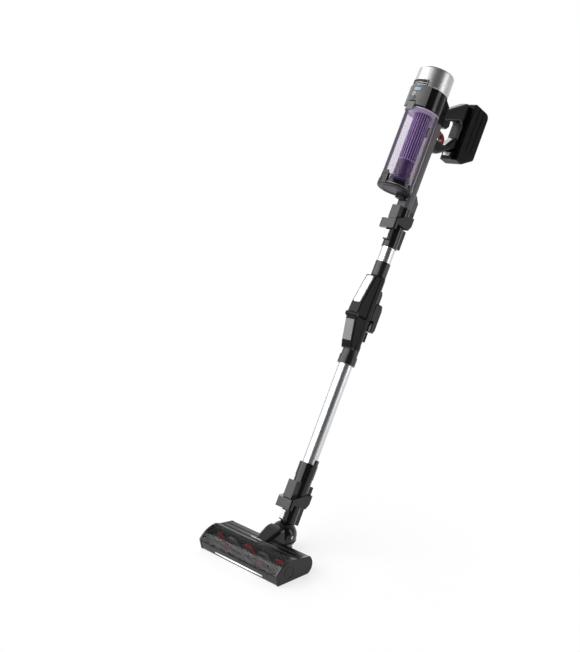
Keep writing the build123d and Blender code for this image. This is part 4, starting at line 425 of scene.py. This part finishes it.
# Pieces whose finish is a shade of their own within their material
panel_grey = plastic(
    "panel_grey", (0.09, 0.09, 0.092), (0.13, 0.13, 0.132),
    roughness=0.3, spread=0.1, grain=1800, depth=0.00001,
)
joint_black = plastic(
    "joint_black", (0.004, 0.004, 0.0045), (0.009, 0.009, 0.0095),
    roughness=0.2, spread=0.16, grain=1600, depth=0.00002, specular=0.12,
)
own_finishes = {
    "flex_hinge_pin": brushed_metal(
        "dark_steel", (0.06, 0.06, 0.065), strokes=(500, 500, 40), roughness=0.3,
    ),
    "flex_lower_cover": plastic(
        "satin_grey", (0.165, 0.165, 0.17), (0.225, 0.225, 0.23),
        roughness=0.34, spread=0.1, grain=1800, depth=0.00001,
    ),
    "spine_duct": plastic(
        "spine_grey", (0.07, 0.07, 0.073), (0.1, 0.1, 0.103),
        roughness=0.28, spread=0.12, grain=1600, depth=0.00001,
    ),
    "bin_lid": plastic(
        "lid_smoke", (0.014, 0.011, 0.017), (0.022, 0.018, 0.026),
        roughness=0.3, spread=0.12, grain=1200, depth=0.00001, specular=0.2,
    ),
    "battery_button": plastic(
        "bright_silver", (0.72, 0.72, 0.73), (0.8, 0.8, 0.81),
        roughness=0.3, spread=0.06, grain=900, depth=0.000002, metallic=0.2,
    ),
    "battery_housing": plastic(
        "pack_black", (0.004, 0.004, 0.0045), (0.009, 0.009, 0.0095),
        roughness=0.2, spread=0.12, grain=1200, depth=0.00001, specular=0.1,
    ),
    "head_top_cover": plastic(
        "deck_black", (0.003, 0.003, 0.0035), (0.007, 0.007, 0.0075),
        roughness=0.16, spread=0.14, grain=900, depth=0.00001, specular=0.12,
    ),
    "display_panel": panel_grey,
    "bin_catch": panel_grey,
    "flex_upper_housing": joint_black,
    "flex_lower_housing": joint_black,
}

# The bending joint is glossier on the collars at its two ends
UPPER_COLLAR = 0.034
LOWER_COLLAR = 0.037
COLLAR_FADE = 0.001
COLLAR_COAT = 0.6
joint_height = joint_black.part("Z", joint_black.wand_place(PIVOT))
collar_foot = reach("flex_upper_housing", WAND)[1].z - UPPER_COLLAR
collar_head = reach("flex_lower_housing", WAND)[0].z + LOWER_COLLAR
on_upper = joint_black.band(joint_height, collar_foot, collar_foot + COLLAR_FADE)
off_lower = joint_black.band(joint_height, collar_head - COLLAR_FADE, collar_head)
on_collars = on_upper + (1 - off_lower)
joint_black.set(Coat_Weight=COLLAR_COAT * on_collars, Coat_Roughness=0.32, Coat_IOR=1.55)

# The panel is grey on the band, and black where its tab reaches over the cap
TAB_BELOW_CAP = 0.0002
TAB_FADE = 0.0006
cap_low, cap_high = reach("motor_cap", BIN)
panel_height = panel_grey.part("Z", panel_grey.wand_place(BIN_AXIS))
tab_foot = cap_low.z - TAB_BELOW_CAP
on_tab = panel_grey.band(panel_height, tab_foot - TAB_FADE, tab_foot)
panel_grey.colour(panel_grey.blend(on_tab, panel_grey.base, (0.005, 0.005, 0.0055)))

for subpart in frame["record"]["subparts"]:
    subpart_finish = own_finishes.get(subpart["node"], finishes[subpart["material_slot"]])
    slots = nodes[subpart["node"]].data.materials
    slots.clear()
    slots.append(subpart_finish.material)

EDGE_WELD = 0.000002
EDGE_SEGMENTS = 2
EDGE_ANGLE = radians(50)
PACK_EDGE = 0.0025
BROAD_EDGE = 0.001
SMALL_EDGE = 0.0005
TRIM_EDGE = 0.0002


def soften(piece, width):
    """Rounds a moulded piece's sharp edges, as its mould does."""
    weld = piece.modifiers.new("join", "WELD")
    weld.merge_threshold = EDGE_WELD
    bevel = piece.modifiers.new("edge", "BEVEL")
    bevel.width = width
    bevel.segments = EDGE_SEGMENTS
    bevel.limit_method = "ANGLE"
    bevel.angle_limit = EDGE_ANGLE
    bevel.harden_normals = False
    normals = piece.modifiers.new("shade", "WEIGHTED_NORMAL")
    normals.keep_sharp = False


softened = {
    PACK_EDGE: "battery_housing",
    BROAD_EDGE: "lower_socket nozzle_socket neck_tube wand_plug flex_upper_housing flex_lower_housing "
    "flex_rear_cover neck_saddle handle_left handle_right",
    SMALL_EDGE: "head_top_cover front_bumper bin_collar bin_lid bin_latch bin_catch display_panel "
    "motor_housing power_trigger lid_release_lever flex_lower_cover battery_button head_base",
}
for edge, softened_nodes in softened.items():
    for node_name in softened_nodes.split():
        soften(nodes[node_name], edge)

# Shapes that the small pieces are made from. A flat one stands across and up, and its face looks ahead.
STANDING = Matrix.Rotation(pi / 2, 3, "X")
CORNER_SEGMENTS = 5
WRAP_STEP = 0.0015
JOIN_REACH = 0.000001
CREASE_ANGLE = radians(40)


def plate(width, height, corner):
    """Flat plate with rounded corners."""
    shape = bmesh.new()
    bmesh.ops.create_grid(shape, x_segments=1, y_segments=1, size=0.5)
    bmesh.ops.scale(shape, vec=(width, height, 1), verts=shape.verts)
    rounding = {"affect": "VERTICES", "segments": CORNER_SEGMENTS, "profile": 0.5, "material": -1}
    bmesh.ops.bevel(shape, geom=shape.verts[:], offset=corner, **rounding)
    bmesh.ops.rotate(shape, matrix=STANDING, verts=shape.verts)
    return shape


def flat_ring(inner, outer, sides):
    """Flat ring between two circles."""
    shape = bmesh.new()
    for radius in (inner, outer):
        bmesh.ops.create_circle(shape, segments=sides, radius=radius)
    bmesh.ops.bridge_loops(shape, edges=shape.edges[:])
    bmesh.ops.rotate(shape, matrix=STANDING, verts=shape.verts)
    return shape


def turned(profile, steps):
    """Shape turned on a lathe about z, from pairs of radius and height."""
    shape = bmesh.new()
    points = [shape.verts.new((radius, 0, height)) for radius, height in profile]
    edges = [shape.edges.new(pair) for pair in zip(points, points[1:])]
    spin = {"cent": (0, 0, 0), "axis": (0, 0, 1), "angle": tau, "steps": steps, "use_merge": True}
    bmesh.ops.spin(shape, geom=points + edges, **spin)
    return shape


def thicken(shape, sunk, proud):
    """Gives a flat shape its thickness: a little sunk into what carries it, the rest proud of it."""
    bmesh.ops.translate(shape, vec=(0, sunk, 0), verts=shape.verts)
    grown = bmesh.ops.extrude_face_region(shape, geom=shape.faces[:], use_keep_orig=True)
    front = [item for item in grown["geom"] if isinstance(item, bmesh.types.BMVert)]
    bmesh.ops.translate(shape, vec=(0, -sunk - proud, 0), verts=front)
    return shape


def wrap(shape, radius):
    """Bends a shape round the z axis, so that its flat face comes to lie on this radius."""
    half = max(abs(vert.co.x) for vert in shape.verts)
    cuts = int(half / WRAP_STEP)
    for cut in range(-cuts, cuts + 1):
        everything = shape.verts[:] + shape.edges[:] + shape.faces[:]
        plane = {"plane_co": (cut * WRAP_STEP, 0, 0), "plane_no": (1, 0, 0)}
        bmesh.ops.bisect_plane(shape, geom=everything, **plane)
    for vert in shape.verts:
        angle = vert.co.x / radius
        from_centre = radius - vert.co.y
        vert.co.x = from_centre * sin(angle)
        vert.co.y = -from_centre * cos(angle)
    return shape


def add_object(name, data):
    """New object in the scene, at the origin."""
    added = bpy.data.objects.new(name, data)
    bpy.context.scene.collection.objects.link(added)
    return added


def fit(name, shape, place, body, slot, finish=None):
    """Sets a modelled shape in its place on a body, as a piece with its finish."""
    bmesh.ops.remove_doubles(shape, verts=shape.verts, dist=JOIN_REACH)
    bmesh.ops.recalc_face_normals(shape, faces=shape.faces)
    bmesh.ops.transform(shape, matrix=place, verts=shape.verts)
    for face in shape.faces:
        face.smooth = True
    mesh = bpy.data.meshes.new(name)
    shape.to_mesh(mesh)
    shape.free()
    mesh.set_sharp_from_angle(angle=CREASE_ANGLE)
    mesh.materials.append((finish or finishes[slot]).material)
    piece = add_object(name, mesh)
    if body:
        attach(piece, body)
    return piece


# Brush: four helical rows of tufts, red and grey in turn
ROWS = 4
ROW_PITCH = 0.2
ROW_MARGIN = 0.001
TOP_ROW_X = 0.01
ROOT_SUNK = 0.0003
TUFT_STEP = 0.0026
TUFT_HALF_WIDE = 0.0008
TUFT_HALF_LONG = 0.0013
SWAY = 0.05
SWAY_STEP = 1.7
FILAMENTS = 9
FILAMENT_LEAN = 9
FILAMENT_LEAN_STEP = 4
filament_shape = {"segments": 5, "radius1": 0.00034, "radius2": 0.00016, "cap_ends": True}
bristles_low, bristles_high = reach("bristle_rows", BRUSH)
core_radius = -reach("brush_core", BRUSH)[0].x
tuft_length = bristles_high.x - core_radius

tuft = bmesh.new()
for filament in range(FILAMENTS):
    around = tau * filament / FILAMENTS
    tilt = radians(FILAMENT_LEAN + FILAMENT_LEAN_STEP * (filament % 3))
    lean = Matrix.Rotation(tilt, 4, Vector((-sin(around), cos(around), 0)))
    filament_foot = Matrix.Translation((TUFT_HALF_WIDE * cos(around), TUFT_HALF_LONG * sin(around), 0))
    filament_place = filament_foot @ lean @ Matrix.Translation((0, 0, tuft_length / 2))
    bmesh.ops.create_cone(tuft, matrix=filament_place, depth=tuft_length, **filament_shape)
tuft_mesh = bpy.data.meshes.new("tuft")
tuft.to_mesh(tuft_mesh)
tuft.free()


def bristle_row(name, rows, finish):
    """Tufts set into the core along these rows of the helix."""
    shape = bmesh.new()
    count = int((bristles_high.z - bristles_low.z - 2 * ROW_MARGIN) / TUFT_STEP)
    for row in rows:
        for number in range(count):
            along = bristles_low.z + ROW_MARGIN + (number + 0.5) * TUFT_STEP
            angle = pi / 2 + tau * (along - TOP_ROW_X) / ROW_PITCH + tau * row / ROWS
            outward = Vector((cos(angle), sin(angle), 0))
            sideways = Vector((-sin(angle), cos(angle), 0))
            root = outward * (core_radius - ROOT_SUNK) + Vector((0, 0, along))
            place = axes_matrix(root, Vector((0, 0, 1)), sideways, outward)
            sway = Matrix.Rotation(SWAY * sin(number * SWAY_STEP + row), 4, "Y")
            before = len(shape.verts)
            shape.from_mesh(tuft_mesh)
            shape.verts.ensure_lookup_table()
            bmesh.ops.transform(shape, matrix=place @ sway, verts=shape.verts[before:])
    return fit(name, shape, BRUSH, "brush", "bristles", finish)


red_rows = bristle_row("red_tufts", (0, 2), finishes["bristles"])
bristle_row("grey_tufts", (1, 3), grey_nylon)
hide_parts("bristle_rows")

# Ribbed hose through the bending joint
RIB_PITCH = 0.0052
RIB_START = 0.1
GROOVE = 0.0016
# One rib: share of the pitch, and how far in from the crest
RIB_CURVE = ((0.0, GROOVE), (0.25, 0.0002), (0.55, 0.0), (0.8, 0.0012))
HOSE_SIDES = 36
HOSE_WALL = 0.0008
hose_low, hose_high = reach("flex_hose", WAND)
hose_radius = hose_high.x
hose_length = hose_high.z - hose_low.z
hose_profile = [(hose_radius - GROOVE, hose_low.z)]
for rib in range(int(hose_length / RIB_PITCH)):
    rib_foot = hose_low.z + (rib + RIB_START) * RIB_PITCH
    for share, inward in RIB_CURVE:
        hose_profile.append((hose_radius - inward, rib_foot + share * RIB_PITCH))
hose_profile.append((hose_radius - GROOVE, hose_high.z))
hose = fit("ribbed_hose", turned(hose_profile, HOSE_SIDES), WAND, None, "soft_rubber")
wall = hose.modifiers.new("wall", "SOLIDIFY")
wall.thickness = HOSE_WALL
wall.offset = -1
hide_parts("flex_hose")
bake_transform(hose)

# Display: a screen in its frame, a ring below it and plain lines, all on the curve of the panel
PANEL_SUNK = 0.0006
PANEL_PROUD = 0.00025
SCREEN_PROUD = 0.0004
SCREEN_TURN = 3
SCREEN_HEIGHT = 0.0388
RING_TURN = -5
RING_HEIGHT = 0.0272
RING_SIDES = 40
TAB_LINE_HEIGHT = 0.0552
PANEL_LINE_TURNS = (-24, 24)
PANEL_LINE_HEIGHT = 0.0115
panel_radius = -reach("display_panel", BIN)[0].y
silver = finishes["silver_plastic"]


def on_panel(name, shape, turn, height, finish, slot="silver_plastic", proud=PANEL_PROUD):
    """Mark on the display panel, turned towards the right and raised above the bin's top."""
    curved = wrap(thicken(shape, PANEL_SUNK, proud), panel_radius)
    place = BIN @ Matrix.Rotation(radians(turn), 4, "Z") @ Matrix.Translation((0, 0, height))
    fit(name, curved, place, "handheld", slot, finish)


screen = plate(width=0.0195, height=0.0085, corner=0.0012)
on_panel("screen", screen, SCREEN_TURN, SCREEN_HEIGHT, screen_glass, "lamp_lens", proud=SCREEN_PROUD)
screen_frame = plate(width=0.0215, height=0.0105, corner=0.002)
on_panel("screen_frame", screen_frame, SCREEN_TURN, SCREEN_HEIGHT, dark_mark, "black_plastic")
ring_mark = flat_ring(inner=0.0033, outer=0.0042, sides=RING_SIDES)
on_panel("ring_mark", ring_mark, RING_TURN, RING_HEIGHT, white_mark)
tab_line = plate(width=0.034, height=0.0008, corner=0.0003)
on_panel("tab_line", tab_line, SCREEN_TURN, TAB_LINE_HEIGHT, silver)
for number, turn in enumerate(PANEL_LINE_TURNS):
    panel_line = plate(width=0.009, height=0.0005, corner=0.0002)
    on_panel(f"panel_line_{number}", panel_line, turn, PANEL_LINE_HEIGHT, finishes["dark_plastic"])

# Thin bright rim round the tab, and the pale lip of the bin under the band
RIM_HEIGHT = 0.0567
RIM_WIDTH = 0.0009
RIM_PROUD = 0.0002
LIP_HEIGHT = -0.0022
LIP_SUNK = 0.0003
LIP_PROUD = 0.0003
tab_rim = plate(width=0.0425, height=0.0138, corner=0.004)
inside = tab_rim.faces[:]
bmesh.ops.inset_region(tab_rim, faces=inside, use_boundary=True, thickness=RIM_WIDTH)
bmesh.ops.delete(tab_rim, geom=inside, context="FACES")
on_panel("tab_rim", tab_rim, 0, RIM_HEIGHT, silver, proud=RIM_PROUD)
bin_radius = reach("dust_bin", BIN)[1].x
lip = wrap(thicken(plate(width=0.16, height=0.0016, corner=0.0005), LIP_SUNK, LIP_PROUD), bin_radius)
fit("bin_lip", lip, BIN @ Matrix.Translation((0, 0, LIP_HEIGHT)), "handheld", "clear_plastic", lip_lilac)

# Bright ring round the foot of the cap
CAP_RING_LIFT = 0.0006
CAP_RING_PROUD = 0.00018
CAP_RING_DEPTH = 0.001
CAP_RING_TALL = 0.0016
CAP_RING_SIDES = 96
CHAMFER_IN = 0.0002
CHAMFER_UP = 0.0003
ring_out = cap_high.x + CAP_RING_PROUD
ring_foot = cap_low.z + CAP_RING_LIFT
ring_top = ring_foot + CAP_RING_TALL
ring_profile = [
    (ring_out - CAP_RING_DEPTH, ring_foot),
    (ring_out - CHAMFER_IN, ring_foot),
    (ring_out, ring_foot + CHAMFER_UP),
    (ring_out, ring_top - CHAMFER_UP),
    (ring_out - CHAMFER_IN, ring_top),
    (ring_out - CAP_RING_DEPTH, ring_top),
]
cap_ring = turned(ring_profile + ring_profile[:1], CAP_RING_SIDES)
fit("cap_ring", cap_ring, BIN, "cap", "cap_metal", silver)

# Dark marks on the release buttons: a dot between two lines on the small ones, one line on the long one
MARK_SUNK = 0.0003
MARK_PROUD = 0.00012
LINE_APART = 0.0055
LONG_LINE_DROP = 0.009


def on_front(node, height):
    """Place on the front of a CAD node at this height up the wand."""
    return on_face(node, WAND @ Vector((0, -OUTSIDE, height)), -AHEAD)


def dark_detail(name, shape, place, body):
    """Thin dark mark on a face of a body."""
    fit(name, thicken(shape, MARK_SUNK, MARK_PROUD), place, body, "black_plastic", dark_mark)


for button, body in (("head_release_button", "head_release"), ("wand_release_button", "wand_release")):
    button_low, button_high = reach(button, WAND)
    button_middle = (button_low.z + button_high.z) / 2
    dot = plate(width=0.0026, height=0.0026, corner=0.00128)
    dark_detail(f"{body}_dot", dot, on_front(button, button_middle), body)
    for where, rise in (("above", LINE_APART), ("below", -LINE_APART)):
        line = plate(width=0.0062, height=0.0005, corner=0.0002)
        dark_detail(f"{body}_line_{where}", line, on_front(button, button_middle + rise), body)
long_line_height = reach("flex_release_button", WAND)[1].z - LONG_LINE_DROP
long_line = plate(width=0.013, height=0.0007, corner=0.0003)
long_line_place = on_front("flex_release_button", long_line_height)
dark_detail("long_button_line", long_line, long_line_place, "flex_release")

# Silver strip at the foot of the ramp, and a smooth dark panel on the bumper above the lamp
STRIP_X = -0.012
STRIP_Y = 0.0159
STRIP_SUNK = 0.0004
STRIP_PROUD = 0.0005
BUMPER_PANEL_Z = 0.0146
BUMPER_PANEL_SUNK = 0.0006
BUMPER_PANEL_PROUD = 0.0006
strip_place = on_face("head_top_cover", Vector((STRIP_X, STRIP_Y, OUTSIDE)), -UPWARD)
strip_shape = thicken(plate(width=0.034, height=0.0026, corner=0.0006), STRIP_SUNK, STRIP_PROUD)
strip = fit("ramp_strip", strip_shape, strip_place, "floor_head", "silver_plastic", strip_silver)
bumper_place = on_face("front_bumper", Vector((0, -OUTSIDE, BUMPER_PANEL_Z)), REARWARD)
bumper_plate = plate(width=0.19, height=0.0078, corner=0.0037)
bumper_shape = thicken(bumper_plate, BUMPER_PANEL_SUNK, BUMPER_PANEL_PROUD)
bumper_panel = fit("bumper_panel", bumper_shape, bumper_place, "floor_head", "black_plastic")
for trim in (strip, bumper_panel):
    soften(trim, TRIM_EDGE)

# Screws: round heads with a socket, on the hidden side of the handle and under the head
SCREW_PROFILE = [
    (0.0, -0.0007), (0.0011, -0.0007), (0.0012, 0.0003),
    (0.0021, 0.0002), (0.0024, -0.0002), (0.0024, -0.0008),
]
SCREW_SIDES = 24
# Behind the wand and up along it
HANDLE_SCREWS = ((0.05, 1.05), (0.079, 1.06), (0.05, 0.945))
SOLE_SCREWS_X = (-0.106, 0.106, -0.02, 0.02)
SOLE_SCREWS_Y = 0.03


def screw(name, place, body):
    """Screw head with a socket, its axis out of the face that it sits in."""
    shape = turned(SCREW_PROFILE, SCREW_SIDES)
    bmesh.ops.rotate(shape, matrix=STANDING, verts=shape.verts)
    fit(name, shape, place, body, "steel")


for number, (back, height) in enumerate(HANDLE_SCREWS):
    screw_place = on_face("handle_left", WAND @ Vector((-OUTSIDE, back, height)), ACROSS)
    screw(f"handle_screw_{number}", screw_place, "handheld")
for number, across in enumerate(SOLE_SCREWS_X):
    screw_place = on_face("head_base", Vector((across, SOLE_SCREWS_Y, -OUTSIDE)), UPWARD)
    screw(f"sole_screw_{number}", screw_place, "floor_head")

# Round step on the lid's outside, and a dark plate painted as the shade inside a slot in the rear cover of the
# bending joint
STEP_PROFILE = [
    (0.0285, 0.0004), (0.0285, -0.0006), (0.0281, -0.001),
    (0.0274, -0.001), (0.027, -0.0006), (0.027, 0.0004),
]
STEP_SIDES = 72
lid_place = on_face("bin_lid", BIN @ Vector((0, 0, -OUTSIDE)), UP)
step_place = Matrix.Translation(lid_place.translation) @ BIN.to_3x3().to_4x4()
step_shape = turned(STEP_PROFILE + STEP_PROFILE[:1], STEP_SIDES)
fit("lid_step", step_shape, step_place, "lid", "black_plastic")
cover_low, cover_high = reach("flex_rear_cover", WAND)
slot_shade_start = WAND @ Vector((0, OUTSIDE, (cover_low.z + cover_high.z) / 2))
slot_shade_place = on_face("flex_rear_cover", slot_shade_start, AHEAD)
# Painted shade: a thin dark plate where the slot's opening falls in shade
dark_detail("rear_slot_shade", plate(width=0.009, height=0.0022, corner=0.0008), slot_shade_place, "handheld")

# Camera at the photograph's view
CAMERA_AIM = Vector((0, 0.1045, 0.4975))
CAMERA_TURN = radians(46.64)
CAMERA_RISE = radians(13.2)
CAMERA_AWAY = 2.17
FOCAL_PIXELS = 1036
LONG_SIDE = 652
level = Vector((sin(CAMERA_TURN), -cos(CAMERA_TURN), 0))
to_camera = level * cos(CAMERA_RISE) + UPWARD * sin(CAMERA_RISE)
lens = bpy.data.cameras.new("camera")
lens.sensor_width = 36
lens.lens = FOCAL_PIXELS * lens.sensor_width / LONG_SIDE
camera = add_object("camera", lens)
camera.location = CAMERA_AIM + to_camera * CAMERA_AWAY
camera.rotation_euler = (-to_camera).to_track_quat("-Z", "Y").to_euler()
bpy.context.scene.camera = camera
bpy.context.scene.view_settings.view_transform = "Standard"

# Pale floor: white where it is seen or mirrored, with the object's shadow kept close round the head
FLOOR_HALF = 6.0
SHADOW_FADE = (0.22, 0.6)
NEAR_WHITE = 0.72
floor_mesh = bpy.data.meshes.new("floor")
floor_shape = bmesh.new()
bmesh.ops.create_grid(floor_shape, x_segments=1, y_segments=1, size=FLOOR_HALF)
floor_shape.to_mesh(floor_mesh)
floor_shape.free()
floor = add_object("floor", floor_mesh)
pale = Finish("pale_floor", Base_Color=(0.9, 0.9, 0.9), Roughness=0.7)
glow = pale.make("Emission", Color=(1, 1, 1), Strength=1.0)
from_head = pale.vector("LENGTH", "Value", _0=pale.make("TexCoord", out="Object"))
seen = pale.ray("Is Camera Ray").above(pale.ray("Is Glossy Ray")).above(pale.ray("Is Transmission Ray"))
white = seen * (NEAR_WHITE + (1 - NEAR_WHITE) * pale.band(from_head, *SHADOW_FADE))
lit = Socket(pale, pale.shader.outputs[0])
mixed = pale.make("MixShader", _0=white, _1=lit, _2=glow)
pale.feed(pale.tree.nodes["Material Output"].inputs["Surface"], mixed)
floor.data.materials.append(pale.material)

# Studio: a white backdrop behind the object, a dimmer room behind the camera
ROOM_SIDES = 0.28
DIMMEST = 0.08
studio = bpy.data.worlds.new("studio")
bpy.context.scene.world = studio
studio.use_nodes = True
room = Shading(studio.node_tree)
view = room.make("TexCoord", out="Generated")
behind = room.vector("DOT_PRODUCT", "Value", _0=view, _1=-level)
dimmed = (ROOM_SIDES + (1 - ROOM_SIDES) * behind).above(DIMMEST)
background = studio.node_tree.nodes["Background"]
room.feed(background.inputs["Color"], (1, 1, 1))
room.feed(background.inputs["Strength"], dimmed.above(room.ray("Is Camera Ray")))

LIT_MIDDLE = Vector((0, 0.4, 0.7))


def soft_box(name, place, size, power):
    """Rectangular studio lamp aimed at the middle of the object."""
    light = bpy.data.lights.new(name, "AREA")
    light.shape = "RECTANGLE"
    light.size, light.size_y = size
    light.energy = power
    box = add_object(name, light)
    box.location = place
    box.rotation_euler = (LIT_MIDDLE - Vector(place)).to_track_quat("-Z", "Y").to_euler()


soft_box("key", place=(-0.9, -1.7, 2.0), size=(4.2, 2.4), power=116)
soft_box("side", place=(2.1, 1.5, 0.9), size=(0.8, 1.8), power=13)
soft_box("back", place=(-1.4, 1.8, 1.6), size=(0.6, 1.8), power=12)
